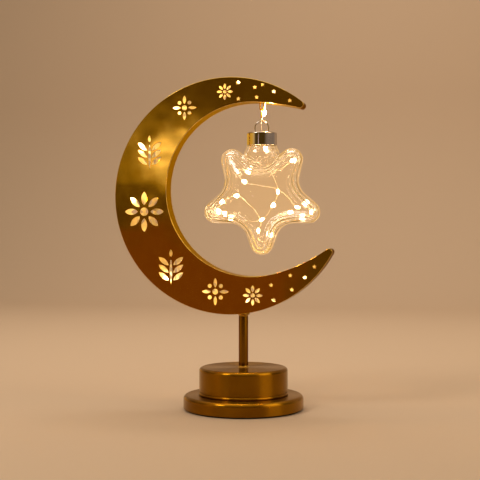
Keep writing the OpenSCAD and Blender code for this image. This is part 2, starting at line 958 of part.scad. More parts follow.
module battery_door() {
    color("dimgray")
        difference() {
            union() {
                translate([-door_w / 2, -door_l / 2, foot_t])
                    cube([door_w, door_l - plate_t / 2, plate_t]);
                translate([-door_w / 2, hinge_y, hinge_z])
                    rotate([0, 90, 0])
                        cylinder(h = door_w, r = plate_t / 2, $fn = wire_fn);
                for (side = [-1, 1])
                    translate([side * door_w / 2, hinge_y, hinge_z])
                        rotate([0, side * 90, 0])
                            cylinder(h = hinge_pin_l, r = hinge_pin_r, $fn = wire_fn);
                translate([-latch_w / 2, -door_l / 2 - latch_l, foot_t])
                    cube([latch_w, latch_l + over, plate_t / 2]);
            }
            // Finger groove by the latch
            translate([-latch_w / 2, -door_l / 2 + latch_l, foot_t])
                rotate([0, 90, 0])
                    cylinder(h = latch_w, r = plate_t / 2, $fn = wire_fn);
        }
}

// The star hangs below the bail: cap, neck and glass on one upright axis
bail_centre_z = bail_top_z - bail_loop_r;
bail_open_angle = 43;
bail_foot_x = bail_loop_r * cos(bail_open_angle);
cap_top_z = bail_centre_z - bail_loop_r * sin(bail_open_angle);
cap_bottom_z = cap_top_z - cap_h;
star_z = cap_bottom_z - neck_drop;
leg_end_x = neck_r - glass_wall - bail_wire_r - seat_gap;
leg_end_z = cap_bottom_z + cap_h / 4;

module rod(from, to, r) {
    aimed(from, to)
        cylinder(h = norm(to - from), r = r, $fn = wire_fn);
}

module star_bail() {
    color("silver")
        translate([hanger_x, 0, 0]) {
            translate([0, 0, bail_centre_z])
                rotate([90, 0, 0])
                    rotate(-bail_open_angle)
                        rotate_extrude(angle = 180 + 2 * bail_open_angle)
                            translate([bail_loop_r, 0])
                                circle(bail_wire_r, $fn = wire_fn);
            for (side = [-1, 1]) {
                translate([side * bail_foot_x, 0, cap_top_z])
                    sphere(bail_wire_r, $fn = wire_fn);
                rod([side * bail_foot_x, 0, cap_top_z], [side * leg_end_x, 0, leg_end_z], bail_wire_r);
            }
        }
}

cap_edge_round = 1.2;
module star_cap() {
    color("silver")
        translate([hanger_x, 0, cap_bottom_z])
            difference() {
                rotate_extrude($fn = fine_fn)
                    difference() {
                        rounded_half(cap_r, cap_h, cap_edge_round, cap_sheet / 2);
                        translate([0, -cap_h])
                            rounded_half(cap_r - cap_sheet, 2 * cap_h - cap_sheet,
                                cap_edge_round - cap_sheet, cap_edge_round - cap_sheet);
                    }
                for (side = [-1, 1])
                    translate([side * bail_foot_x, 0, cap_h - 2 * cap_sheet])
                        cylinder(h = 4 * cap_sheet, r = 2 * bail_wire_r, $fn = wire_fn);
                translate([0, 0, cap_h - 2 * cap_sheet])
                    cylinder(h = 4 * cap_sheet, r = 2 * lead_hole_r, $fn = wire_fn);
            }
}

// Star outline: sharp corners by turns far and near, each one rounded; a wall scales them about the middle
star_lobes = 5;
corner_steps = 5;
// Blown glass is never quite even: reach of each point and notch, round from the lowest point
point_shares = [0.985, 1, 1.043, 1.043, 1];
notch_shares = [0.93, 1.06, 0.8, 1.06, 0.93];
star_lean = atan2(
    star_notch_r * sin(180 / star_lobes),
    star_point_r - star_notch_r * cos(180 / star_lobes)
);
star_apothem = star_point_r * sin(star_lean);

function corner_reach(i) =
    i % 2 == 0 ? star_point_r * point_shares[i / 2 % star_lobes]
    : star_notch_r * notch_shares[(i - 1) / 2 % star_lobes];
function star_corner(i, inset) =
    polar(corner_reach(i) * (star_apothem - inset) / star_apothem, -90 + i * 180 / star_lobes);
function rounded_corner(before, corner, after, r) =
    let (u = unit(before - corner), v = unit(after - corner), half = acos(u * v) / 2)
    let (middle = corner + unit(u + v) * r / sin(half))
    let (start = corner + u * r / tan(half) - middle, finish = corner + v * r / tan(half) - middle)
    let (a0 = atan2(start[1], start[0]), a1 = atan2(finish[1], finish[0]))
    let (turn = a1 - a0 > 180 ? a1 - a0 - 360 : a1 - a0 < -180 ? a1 - a0 + 360 : a1 - a0)
    [for (k = [0:corner_steps]) middle + polar(r, a0 + turn * k / corner_steps)];
function star_outline(inset) = [
    for (i = [0:2 * star_lobes - 1])
        let (round = i % 2 == 0 ? star_point_round - inset : star_notch_round + inset)
        for (p = rounded_corner(star_corner(i + 2 * star_lobes - 1, inset), star_corner(i, inset),
            star_corner(i + 1, inset), round))
            p
];

// Pillowed body: the outline shrinks towards the front and back along a rounded edge
pillow_steps = 6;
pillow_fullness = 0.72;
module star_body(inset) {
    outline = star_outline(inset);
    count = len(outline);
    depth = star_half_d - inset;
    angles = [for (i = [1 - pillow_steps:pillow_steps - 1]) 90 * i / pillow_steps];
    rings = len(angles);
    points = concat(
        [
            for (a = angles)
                for (p = outline)
                    let (s = pow(cos(a), pillow_fullness))
                    [s * p[0], depth * sin(a), s * p[1]]
        ],
        [[0, -depth, 0], [0, depth, 0]]
    );
    faces = concat(
        [
            for (j = [0:rings - 2])
                for (k = [0:count - 1])
                    let (a = j * count + k, b = j * count + (k + 1) % count)
                    for (f = [[a, b, b + count], [a, b + count, a + count]])
                        f
        ],
        [for (k = [0:count - 1]) [rings * count, (k + 1) % count, k]],
        [
            for (k = [0:count - 1])
                [rings * count + 1, (rings - 1) * count + k, (rings - 1) * count + (k + 1) % count]
        ]
    );
    polyhedron(points, faces);
}

// Neck profile: straight in the cap, a lip under it, then a cone that swells and runs into the star
neck_top = neck_drop + cap_h - cap_sheet - seat_gap;
lip_h = 1.6;
// Radius as a share of the lip's, height as a share of the way from the star's middle to the lip
neck_shares = [[0.78, 0.54], [1, 0.62], [1.15, 0.7], [1.22, 0.79], [1.18, 0.88], [1.08, 0.96]];
function neck_profile(inset) = concat(
    [[0, neck_drop * neck_shares[0][1]]],
    [for (n = neck_shares) [cap_r * n[0] - inset, (neck_drop - lip_h) * n[1]]],
    [
        [cap_r - inset, neck_drop - lip_h],
        [cap_r - inset, neck_drop - seat_gap],
        [neck_r - inset, neck_drop - seat_gap],
        [neck_r - inset, neck_top],
        [0, neck_top]
    ]
);

module star_glass() {
    color("lightcyan", 0.35)
        translate([hanger_x, 0, star_z])
            difference() {
                union() {
                    star_body(0);
                    rotate_extrude()
                        polygon(neck_profile(0));
                }
                star_body(glass_wall);
                translate([0, 0, -over])
                    rotate_extrude()
                        polygon(neck_profile(glass_wall));
                cylinder(h = neck_top + over, r = neck_r - glass_wall);
            }
}

// Lead beside the link, from the staple's bend to the link's lower bend
lead_y = -link_w / 2 - wire_r - 2 * seat_gap;
link_lead_places = [
    [lead_x, 0, staple_z - lead_bend_gap],
    [lead_x - 0.2, -0.9, staple_z - 2.8],
    [lead_x - 0.7, -2.2, staple_z - 5.6],
    [lead_x - 2.2, lead_y + 0.1, staple_z - 8.4],
    [hanger_x, lead_y, link_bottom_z + lead_bend_gap]
];

module link_lead() {
    color("tan")
        swept_wire(smooth(link_lead_places, 3), wire_r);
}

module link_bead() {
    color("lightyellow")
        beads_on(link_lead_places, [1]);
}

// Light wire of the star, relative to the star's middle
star_wire_places = [
    [0, lead_y, link_bottom_z - lead_bend_gap - star_z],
    [0, lead_y, 66.5], [0, -2.4, 63], [0, -0.6, 60.6], [0, 0, 58], [1.5, 0, 51],
    [3.2, -1, 44.4], [6, -5, 38], [7, -6, 29], [12, -11, 20], [17, -12, 5], [12.5, -12.5, -7],
    [2.5, -13, -20], [-14, -11, -21], [-28, -4, -18], [-34, -3, -14], [-41, 0, -12], [-37, 2, -4],
    [-24, 0, 2], [-12, -8, -4.8], [-2, -10, -15], [1, -9, -24], [-2, -6, -30], [-1, 0, -40],
    [8, 3, -34], [11, 4, -22], [26, 3, -13], [37, 2, -18], [46, 0, -13], [41, -2, -5],
    [34, -7, -9], [26, -10, 0], [17, -14, 7], [2, -13, 10.5], [-15, -8, 14.4], [-22, 2, 26],
    [-14, 6, 24], [0, 8, 22], [16, 6, 26], [28, 2, 34]
];
star_bead_numbers = [6, 10, 11, 12, 14, 15, 16, 17, 18, 22, 24, 26, 27, 28, 29, 30, 34, 36, 39];

module star_light_wire() {
    color("tan")
        translate([hanger_x, 0, star_z])
            swept_wire(smooth(star_wire_places, 2), wire_r);
}

module star_light_beads() {
    color("lightyellow")
        translate([hanger_x, 0, star_z])
            beads_on(star_wire_places, star_bead_numbers);
}

crescent_front_plate();
crescent_back_plate();
crescent_outer_rim();
crescent_inner_rim();
crescent_light_wire();
crescent_light_beads();
hanging_staple();
stem_tube();
stem_top_braze();
stem_foot_braze();
drum_cover();
base_disc();
closing_plate();
plate_screws();
foot_ring();
battery_box();
box_screws();
battery_cells();
contact_plates();
contact_springs();
control_board();
board_chips();
switch_housing();
switch_knob();
battery_door();
hanging_link();
link_lead();
link_bead();
star_bail();
star_cap();
star_glass();
star_light_wire();
star_light_beads();
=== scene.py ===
"""Looks of a gold crescent lamp with a hanging glass star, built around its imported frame."""
import json
import math

import bmesh
import bpy
import numpy as np
from mathutils import Euler, Matrix, Vector


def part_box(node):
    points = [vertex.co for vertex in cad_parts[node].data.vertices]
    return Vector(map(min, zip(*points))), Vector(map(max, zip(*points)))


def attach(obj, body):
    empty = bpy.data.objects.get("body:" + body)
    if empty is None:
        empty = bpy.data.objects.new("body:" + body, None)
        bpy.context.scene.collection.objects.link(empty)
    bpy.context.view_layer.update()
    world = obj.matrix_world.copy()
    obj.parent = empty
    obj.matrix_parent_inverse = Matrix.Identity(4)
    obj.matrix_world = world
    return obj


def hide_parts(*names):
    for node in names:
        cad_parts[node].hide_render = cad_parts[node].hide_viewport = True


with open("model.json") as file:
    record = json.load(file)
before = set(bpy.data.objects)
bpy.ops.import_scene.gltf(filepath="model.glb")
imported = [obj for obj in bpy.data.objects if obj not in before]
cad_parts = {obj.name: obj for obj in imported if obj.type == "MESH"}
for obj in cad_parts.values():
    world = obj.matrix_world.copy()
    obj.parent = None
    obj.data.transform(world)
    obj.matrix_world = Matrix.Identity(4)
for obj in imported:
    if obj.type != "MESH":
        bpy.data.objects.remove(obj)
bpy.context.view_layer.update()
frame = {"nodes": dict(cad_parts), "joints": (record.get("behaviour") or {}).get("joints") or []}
nodes = frame["nodes"]
joints = {joint["name"]: joint for joint in frame["joints"]}

MM = 0.001

# Crescent, in millimetres, as seen from the front
CAD_OUTER_R = 109.0
OUTER_R = 108.97
INNER_R = 80.0
OPENING_OFFSET = 21.4
OPENING_TILT = 16.0
TIP_ROUND = 3.2
TIP_ANGLES = {"upper": 51.3, "lower": -29.0}
FLAT_ANGLES = {"upper": 85.0, "lower": -77.0}
SHEET = 1.0
EDGE_ROUND = 0.35
EDGE_ROUND_STEPS = 2
TIP_STEPS = 24
OUTER_STEPS = 340
INNER_STEPS = 260
UPPER_FLANK_STEPS = 40
LOWER_FLANK_STEPS = 50

# Star and its neck, from the star's middle
STAR_CORNERS = 10
STAR_POINT_R = 74.0
STAR_NOTCH_R = 31.5
STAR_POINT_ROUND = 10.0
STAR_NOTCH_ROUND = 16.5
STAR_POINT_SHARES = (0.985, 1, 1.043, 1.043, 1)
STAR_NOTCH_SHARES = (0.93, 1.06, 0.8, 1.06, 0.93)
STAR_HALF_DEPTH = 23.0
STAR_FULLNESS = 0.42
STAR_RINGS = 26
CORNER_STEPS = 14
SWELL_CELL = 1.0
SWELL_ROUNDS = 3500
SKIN_VOXEL = 0.7
SKIN_SOFTNESS = 0.5
SKIN_SMOOTHING = 3
GLASS_WALL = 2.4
NECK_R = 13.0
NECK_DROP = 47.9
NECK_LIP = 1.6
NECK_CAP_PLAY = 0.2
NECK_TOP_PLAY = 1.0
NECK_SEGMENTS = 96

# Neck below its lip: share of the cap's radius, share of the height up to the lip
NECK_FLARE_SHARES = (
    (0.45, 0.46), (0.78, 0.54), (1.0, 0.62), (1.15, 0.7),
    (1.22, 0.79), (1.18, 0.88), (1.08, 0.96), (1.0, 1.0),
)

# Mould ripples of the star: waves round it as height, number and phase
RIPPLE_REACH = 13.0
RIPPLE_PITCH = 2.9
RIPPLE_HEIGHT = 0.33
RIPPLE_EVEN = 0.78
RIPPLE_UNEVEN = ((0.22, 5, 2),)
RIPPLE_SWAY = ((1.1, 3, 0), (0.7, 8, 1))

# Wires and beads
WIRE_R = 0.36
WIRE_ROUND_STEPS = 4
WIRE_LENGTH_STEPS = 8
BEAD_R = 1.4
BEAD_L = 5.0
BEAD_FULLNESS = 0.7
BEAD_STEPS = 10
BEAD_SEGMENTS = 20

# Rolled bead at the drum's foot
FOOT_BEAD_R = 1.4
FOOT_BEAD_SINK = 0.9
FOOT_BEAD_KNOTS = 32

front_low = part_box("crescent_front_plate")[0]
cap_low, cap_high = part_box("star_cap")
hanger = Vector(joints["link_swing"]["pos_m"])
depth_half = -front_low.y / MM
outer_centre = (front_low.x / MM + CAD_OUTER_R, front_low.z / MM + CAD_OUTER_R)
star_centre = Vector((hanger.x, 0, cap_low.z - NECK_DROP * MM))


def polar(radius, degrees):
    """The point at a radius and a direction."""
    return (radius * math.cos(math.radians(degrees)), radius * math.sin(math.radians(degrees)))


def add(p, q):
    return (p[0] + q[0], p[1] + q[1])


def toward(p, q):
    """Unit step from p to q, and how far apart they are."""
    gap = math.dist(p, q)
    return ((q[0] - p[0]) / gap, (q[1] - p[1]) / gap), gap


def step(p, way, length):
    """The point that lies a length from p along a way."""
    return (p[0] + way[0] * length, p[1] + way[1] * length)


def heading(p, q):
    """Direction from p to q in degrees."""
    return math.degrees(math.atan2(q[1] - p[1], q[0] - p[0]))


def turn_between(start, end):
    """The shorter turn from one direction to another, in degrees."""
    return (end - start + 180) % 360 - 180


inner_centre = add(outer_centre, polar(OPENING_OFFSET, OPENING_TILT))


# Materials


def link(tree, a, b):
    tree.links.new(a, b)


def effect(name, inputs, outputs):
    """An empty node group with named sockets: (tree, input node, output node)."""
    tree = bpy.data.node_groups.new(name, "ShaderNodeTree")
    for label, kind, value in inputs:
        socket = tree.interface.new_socket(label, in_out="INPUT", socket_type=kind)
        socket.default_value = value
    for label, kind in outputs:
        tree.interface.new_socket(label, in_out="OUTPUT", socket_type=kind)
    return tree, tree.nodes.new("NodeGroupInput"), tree.nodes.new("NodeGroupOutput")


def node(tree, kind, **values):
    """A node with its settings; in_ before a name means the input socket of that name."""
    made = tree.nodes.new(kind)
    for key, value in values.items():
        if key.startswith("in_"):
            made.inputs[key[3:].replace("_", " ")].default_value = value
        else:
            setattr(made, key, value)
    return made


def sheet_waves():
    """Slow waves of thin pressed sheet, with fine polishing haze: a height and a haze mask."""
    tree, given, out = effect(
        "sheet_waves",
        [
            ("Wave Scale", "NodeSocketFloat", 18.0),
            ("Wave Detail", "NodeSocketFloat", 1.5),
            ("Haze Scale", "NodeSocketFloat", 60.0),
        ],
        [("Height", "NodeSocketFloat"), ("Haze", "NodeSocketFloat")],
    )
    place = node(tree, "ShaderNodeTexCoord")
    wave = node(tree, "ShaderNodeTexNoise", in_Roughness=0.4)
    haze = node(tree, "ShaderNodeTexNoise", in_Detail=6.0, in_Roughness=0.6)
    link(tree, place.outputs["Object"], wave.inputs["Vector"])
    link(tree, place.outputs["Object"], haze.inputs["Vector"])
    link(tree, given.outputs["Wave Scale"], wave.inputs["Scale"])
    link(tree, given.outputs["Wave Detail"], wave.inputs["Detail"])
    link(tree, given.outputs["Haze Scale"], haze.inputs["Scale"])
    link(tree, wave.outputs["Fac"], out.inputs["Height"])
    link(tree, haze.outputs["Fac"], out.inputs["Haze"])
    return tree


def spun_lines():
    """Fine rings left by spinning and polishing on a lathe, round the Z axis."""
    tree, given, out = effect(
        "spun_lines",
        [("Line Scale", "NodeSocketFloat", 2600.0), ("Patch Scale", "NodeSocketFloat", 30.0)],
        [("Height", "NodeSocketFloat"), ("Patch", "NodeSocketFloat")],
    )
    place = node(tree, "ShaderNodeTexCoord")
    split = node(tree, "ShaderNodeSeparateXYZ")
    flat = node(tree, "ShaderNodeCombineXYZ")
    reach = node(tree, "ShaderNodeVectorMath", operation="LENGTH")
    both = node(tree, "ShaderNodeMath", operation="ADD")
    line = node(tree, "ShaderNodeTexNoise", noise_dimensions="1D", in_Detail=3.0)
    patch = node(tree, "ShaderNodeTexNoise", in_Detail=3.0)
    link(tree, place.outputs["Object"], split.inputs[0])
    link(tree, split.outputs["X"], flat.inputs["X"])
    link(tree, split.outputs["Y"], flat.inputs["Y"])
    link(tree, flat.outputs[0], reach.inputs[0])
    link(tree, reach.outputs["Value"], both.inputs[0])
    link(tree, split.outputs["Z"], both.inputs[1])
    link(tree, both.outputs[0], line.inputs["W"])
    link(tree, given.outputs["Line Scale"], line.inputs["Scale"])
    link(tree, place.outputs["Object"], patch.inputs["Vector"])
    link(tree, given.outputs["Patch Scale"], patch.inputs["Scale"])
    link(tree, line.outputs["Fac"], out.inputs["Height"])
    link(tree, patch.outputs["Fac"], out.inputs["Patch"])
    return tree


def fine_grain():
    """Even grain of moulded plastic or foam: a height and a slow tone."""
    tree, given, out = effect(
        "fine_grain",
        [("Grain Scale", "NodeSocketFloat", 1500.0)],
        [("Height", "NodeSocketFloat"), ("Tone", "NodeSocketFloat")],
    )
    place = node(tree, "ShaderNodeTexCoord")
    grain = node(tree, "ShaderNodeTexVoronoi")
    tone = node(tree, "ShaderNodeTexNoise", in_Scale=25.0, in_Detail=4.0)
    link(tree, place.outputs["Object"], grain.inputs["Vector"])
    link(tree, place.outputs["Object"], tone.inputs["Vector"])
    link(tree, given.outputs["Grain Scale"], grain.inputs["Scale"])
    link(tree, grain.outputs["Distance"], out.inputs["Height"])
    link(tree, tone.outputs["Fac"], out.inputs["Tone"])
    return tree


EFFECTS = {"waves": sheet_waves(), "spun": spun_lines(), "grain": fine_grain()}

# Where on a mask the blend of two tones starts and ends
TONE_SPAN = (0.35, 0.65)


def material(name, effect_name, **settings):
    """A material with one effect group; each setting goes to the group's input or else the shader's."""
    made = bpy.data.materials.new(name)
    made.use_nodes = True
    tree = made.node_tree
    shader = tree.nodes["Principled BSDF"]
    group = tree.nodes.new("ShaderNodeGroup")
    group.node_tree = EFFECTS[effect_name]
    for key, value in settings.items():
        label = key.replace("_", " ")
        if label in group.inputs:
            group.inputs[label].default_value = value
        else:
            shader.inputs[label].default_value = value
    return made, tree, shader, group


def ramp(tree, source, low, high):
    """Maps a mask from 0..1 to low..high."""
    made = node(tree, "ShaderNodeMapRange", in_To_Min=low, in_To_Max=high)
    link(tree, source, made.inputs["Value"])
    return made.outputs["Result"]


def two_tone(tree, source, *tones):
    """Blends two colours by a mask."""
    made = node(tree, "ShaderNodeValToRGB")
    for stop, position, tone in zip(made.color_ramp.elements, TONE_SPAN, tones):
        stop.position = position
        stop.color = (*tone, 1)
    link(tree, source, made.inputs["Fac"])
    return made.outputs["Color"]


def mixed(tree, amount, first, second):
    """Colour mix of two colours or sockets by an amount."""
    made = node(tree, "ShaderNodeMix", data_type="RGBA")
    link(tree, amount, made.inputs["Factor"])
    for value, socket in ((first, made.inputs["A"]), (second, made.inputs["B"])):
        if isinstance(value, tuple):
            socket.default_value = value
        else:
            link(tree, value, socket)
    return made.outputs["Result"]


def between(tree, source, low, high):
    """A smooth step of a value, none at low and full at high; with low above high it falls."""
    made = node(
        tree, "ShaderNodeMapRange", interpolation_type="SMOOTHSTEP", in_From_Min=low, in_From_Max=high
    )
    link(tree, source, made.inputs["Value"])
    return made.outputs["Result"]


def dented(tree, shader, height, strength, distance):
    """Feeds a height into the shader's normal."""
    made = node(tree, "ShaderNodeBump", in_Strength=strength, in_Distance=distance)
    link(tree, height, made.inputs["Height"])
    link(tree, made.outputs["Normal"], shader.inputs["Normal"])


# Colours

GOLD = (0.74, 0.46, 0.045)
GOLD_DEEP = (0.69, 0.41, 0.035)
# Gold of the spun base and the drawn stem: the plating of the sheet, darkened as painted shade, as if it
# mirrored darker surroundings
SPUN_GOLD_SHADED = (0.28, 0.130, 0.005)
SPUN_GOLD_DEEP_SHADED = (0.21, 0.088, 0.003)
TUBE_GOLD_SHADED = (0.25, 0.120, 0.006)
TUBE_GOLD_DEEP_SHADED = (0.19, 0.085, 0.004)
GOLD_EDGE = (0.90, 0.57, 0.14, 1)
# Edge tints of the base and the stem: near white on the base so that its glancing tops stay pale, dark on
# the stem as painted shade
SPUN_EDGE = (1.0, 0.97, 0.84, 1)
TUBE_EDGE = (0.42, 0.27, 0.06, 1)
# Edge tints of the strips: darkened on the outer strip as painted shade, paler and yellower on the inner
# strip as a painted sheen
RIM_PAINTED_SHADE_EDGE = (0.22, 0.13, 0.03, 1)
UNDER_PAINTED_SHEEN_EDGE = (0.74, 0.60, 0.21, 1)
# Painted glow of the glass where it faces the camera
GLASS_PAINTED_GLOW_DEEP = (0.15, 0.08, 0.02, 1)
GLASS_TINT = (1.0, 0.985, 0.96, 1)
RESIN_TINT = (1.0, 0.9, 0.7, 1)
LED_COLOUR = (1.0, 0.74, 0.44)
INSIDE_LED_COLOUR = (1.0, 0.84, 0.58)

# Pairs of tones that a mask blends, the deeper tone first
GOLD_TONES = (GOLD_DEEP, GOLD)
SPUN_SHADED_TONES = (SPUN_GOLD_DEEP_SHADED, SPUN_GOLD_SHADED)
TUBE_SHADED_TONES = (TUBE_GOLD_DEEP_SHADED, TUBE_GOLD_SHADED)
# Paler gold of the inside and of the cut edges: painted light from the lamps within
INSIDE_PAINTED_LIT_TONES = ((0.84, 0.70, 0.42), (0.92, 0.80, 0.54))
CUT_PAINTED_LIT_TONES = ((0.92, 0.70, 0.34), (0.98, 0.80, 0.46))
BRAZE_TONES = ((0.20, 0.08, 0.01), (0.66, 0.40, 0.06))
NICKEL_TONES = ((0.50, 0.44, 0.385), (0.56, 0.495, 0.435))
# Painted glow of the glass where it is seen edge on
GLASS_PAINTED_GLOW_TONES = ((1.0, 0.50, 0.12), (1.0, 0.62, 0.22))
BEAD_GLOW_TONES = ((1.0, 0.60, 0.25), (1.0, 0.74, 0.42))
# Pale cream of the wire: coated copper made paler as painted light from the beads
LEAD_PAINTED_LIT_TONES = ((0.88, 0.70, 0.46), (0.98, 0.84, 0.62))
PLASTIC_TONES = ((0.018, 0.018, 0.019), (0.03, 0.03, 0.031))
FOAM_TONES = ((0.012, 0.012, 0.013), (0.022, 0.022, 0.023))
SLEEVE_TONES = ((0.05, 0.11, 0.24), (0.07, 0.14, 0.28))
BOARD_TONES = ((0.01, 0.07, 0.025), (0.015, 0.10, 0.035))
CHIP_TONES = ((0.012, 0.012, 0.012), (0.02, 0.02, 0.02))
STEEL_TONES = ((0.50, 0.50, 0.52), (0.62, 0.62, 0.64))


def toned(tree, shader, mask, tones, polish):
    """Blends a shader's base colour between two tones, and its roughness between two values, by a mask."""
    link(tree, two_tone(tree, mask, *tones), shader.inputs["Base Color"])
    link(tree, ramp(tree, mask, *polish), shader.inputs["Roughness"])


def gold_sheet():
    """Polished gold sheet of the plates, with the slow waves of pressing."""
    made, tree, shader, group = material(
        "polished_gold_sheet",
        "waves",
        Wave_Scale=17.0,
        Wave_Detail=2.2,
        Haze_Scale=90.0,
        Metallic=1.0,
        Specular_Tint=GOLD_EDGE,
    )
    toned(tree, shader, group.outputs["Haze"], GOLD_TONES, polish=(0.03, 0.12))
    dented(tree, shader, group.outputs["Height"], strength=0.6, distance=0.0011)
    return made


def gold_satin(name, tones, polish):
    """Unpolished gold of the crescent's inside and of its cut edges, in paler tones that are painted light
    from the lamps within.
    """
    made, tree, shader, group = material(name, "waves", Wave_Scale=120.0, Haze_Scale=260.0, Metallic=1.0)
    toned(tree, shader, group.outputs["Haze"], tones, polish)
    dented(tree, shader, group.outputs["Height"], strength=0.3, distance=0.0004)
    return made


def gold_strip(name, edge):
    """Bent strip between the plates: brushed, so that it holds a soft streak of light; its edge tint paints
    shade or sheen on its glancing faces.
    """
    made, tree, shader, group = material(
        name, "waves", Wave_Scale=60.0, Haze_Scale=420.0, Metallic=1.0, Specular_Tint=edge
    )
    toned(tree, shader, group.outputs["Haze"], GOLD_TONES, polish=(0.18, 0.32))
    dented(tree, shader, group.outputs["Height"], strength=0.3, distance=0.0004)
    return made


def gold_spun(name, tones, edge, polish, streak):
    """Gold turned on a lathe: its fine rings draw each light out into an upright band."""
    made, tree, shader, group = material(
        name,
        "spun",
        Line_Scale=2200.0,
        Metallic=1.0,
        Specular_Tint=edge,
        Anisotropic=streak,
        Anisotropic_Rotation=0.25,
    )
    toned(tree, shader, group.outputs["Patch"], tones, polish)
    dented(tree, shader, group.outputs["Height"], strength=0.25, distance=0.00004)
    along = node(tree, "ShaderNodeTangent", direction_type="RADIAL", axis="Z")
    link(tree, along.outputs["Tangent"], shader.inputs["Tangent"])
    return made


def gold_wire():
    """Gold wire of the staple and the link."""
    made, tree, shader, group = material("gold_wire", "waves", Wave_Scale=400.0, Metallic=1.0)
    toned(tree, shader, group.outputs["Haze"], GOLD_TONES, polish=(0.08, 0.2))
    return made


def braze_metal():
    """Lumpy braze at the stem's two ends."""
    made, tree, shader, group = material(
        "brazed_joint", "waves", Wave_Scale=900.0, Haze_Scale=700.0, Metallic=1.0
    )
    toned(tree, shader, group.outputs["Haze"], BRAZE_TONES, polish=(0.2, 0.45))
    dented(tree, shader, group.outputs["Height"], strength=0.9, distance=0.0006)
    return made


def pale_metal(name, tones, line_scale, polish):
    """Pale metal of the cap, the bail and the small hardware."""
    made, tree, shader, group = material(name, "spun", Line_Scale=line_scale, Metallic=1.0)
    toned(tree, shader, group.outputs["Patch"], tones, polish)
    return made


def blown_glass():
    """Clear glass with a painted warm glow: it gives off a faint light all over, stronger where it is seen
    edge on.
    """
    made, tree, shader, group = material(
        "blown_glass",
        "waves",
        Wave_Scale=60.0,
        Base_Color=GLASS_TINT,
        Roughness=0.0,
        Metallic=0.0,
        IOR=1.46,
        Transmission_Weight=1.0,
        Emission_Strength=0.34,
    )
    # Painted glow: faint all over, stronger where the glass is seen edge on
    edge = node(tree, "ShaderNodeLayerWeight", in_Blend=0.5)
    painted_glow_tone = two_tone(tree, group.outputs["Haze"], *GLASS_PAINTED_GLOW_TONES)
    painted_glow = mixed(tree, between(tree, edge.outputs["Facing"], low=0.55, high=1.0), GLASS_PAINTED_GLOW_DEEP, painted_glow_tone)
    link(tree, painted_glow, shader.inputs["Emission Color"])
    dented(tree, shader, group.outputs["Height"], strength=0.16, distance=0.0006)
    return made


def resin_drop():
    """A lit bead of clear resin, with a slightly uneven glow."""
    made, tree, shader, group = material(
        "resin_drop",
        "waves",
        Wave_Scale=500.0,
        Haze_Scale=400.0,
        Base_Color=RESIN_TINT,
        Roughness=0.15,
        Emission_Strength=32.0,
    )
    link(tree, two_tone(tree, group.outputs["Haze"], *BEAD_GLOW_TONES), shader.inputs["Emission Color"])
    return made


def copper_wire():
    """Fine copper wire of the lights under its clear coat, in a pale cream tone that is painted light from
    the beads.
    """
    made, tree, shader, group = material("coated_copper_wire", "waves", Wave_Scale=300.0, Metallic=0.4)
    toned(tree, shader, group.outputs["Haze"], LEAD_PAINTED_LIT_TONES, polish=(0.25, 0.4))
    return made


def moulded(name, tones, grain_scale, depth, polish):
    """Plastic, foam or board: two close tones and an even grain."""
    made, tree, shader, group = material(name, "grain", Grain_Scale=grain_scale)
    toned(tree, shader, group.outputs["Tone"], tones, polish)
    dented(tree, shader, group.outputs["Height"], strength=0.3, distance=depth)
    return made


# Finishes by name
FINISH = {
    "sheet": gold_sheet(),
    # Strips: painted shade on the outer one, a painted sheen on the inner one
    "outer_strip": gold_strip("brushed_outer_strip_painted_shade", RIM_PAINTED_SHADE_EDGE),
    "inner_strip": gold_strip("brushed_inner_strip_painted_sheen", UNDER_PAINTED_SHEEN_EDGE),
    # Inside and cut edges: paler as painted light from the lamps within
    "inside": gold_satin("satin_gold_inside_painted_lit", INSIDE_PAINTED_LIT_TONES, polish=(0.28, 0.44)),
    "cut": gold_satin("cut_gold_edge_painted_lit", CUT_PAINTED_LIT_TONES, polish=(0.20, 0.36)),
    # Base and stem gold, darkened as painted shade
    "spun": gold_spun("spun_gold_painted_shade", SPUN_SHADED_TONES, SPUN_EDGE, polish=(0.20, 0.27), streak=0.95),
    "tube": gold_spun("drawn_gold_tube_painted_shade", TUBE_SHADED_TONES, TUBE_EDGE, polish=(0.10, 0.16), streak=0.6),
    "wire": gold_wire(),
    "braze": braze_metal(),
    "nickel": pale_metal("nickel_plate", NICKEL_TONES, line_scale=1500.0, polish=(0.05, 0.11)),
    "glass": blown_glass(),
    "bead": resin_drop(),
    "lead": copper_wire(),
    "dark": moulded("dark_plastic", PLASTIC_TONES, grain_scale=1400.0, depth=0.00008, polish=(0.44, 0.56)),
    "foam": moulded("foam", FOAM_TONES, grain_scale=700.0, depth=0.0003, polish=(0.79, 0.91)),
    "cell": moulded("cell_sleeve", SLEEVE_TONES, grain_scale=300.0, depth=0.00002, polish=(0.24, 0.36)),
    "board": moulded("board_mask", BOARD_TONES, grain_scale=900.0, depth=0.00002, polish=(0.29, 0.41)),
    "chip": moulded("chip_body", CHIP_TONES, grain_scale=1800.0, depth=0.00005, polish=(0.39, 0.51)),
    "steel": pale_metal("zinc_steel", STEEL_TONES, line_scale=900.0, polish=(0.25, 0.4)),
}


# Making pieces

INSIDE_FACING = 0.7
CUT_FACING = 0.35

# Angles above which an edge is shaded sharp
CREASE = 35
PLATE_CREASE = 25
ROUND_CREASE = 80


def into_scene(made):
    bpy.context.scene.collection.objects.link(made)


def shaded(mesh, finish, crease):
    """Smooth shading up to a crease angle, and one finish."""
    for face in mesh.polygons:
        face.use_smooth = True
    mesh.set_sharp_from_angle(angle=math.radians(crease))
    mesh.materials.clear()
    mesh.materials.append(FINISH[finish])


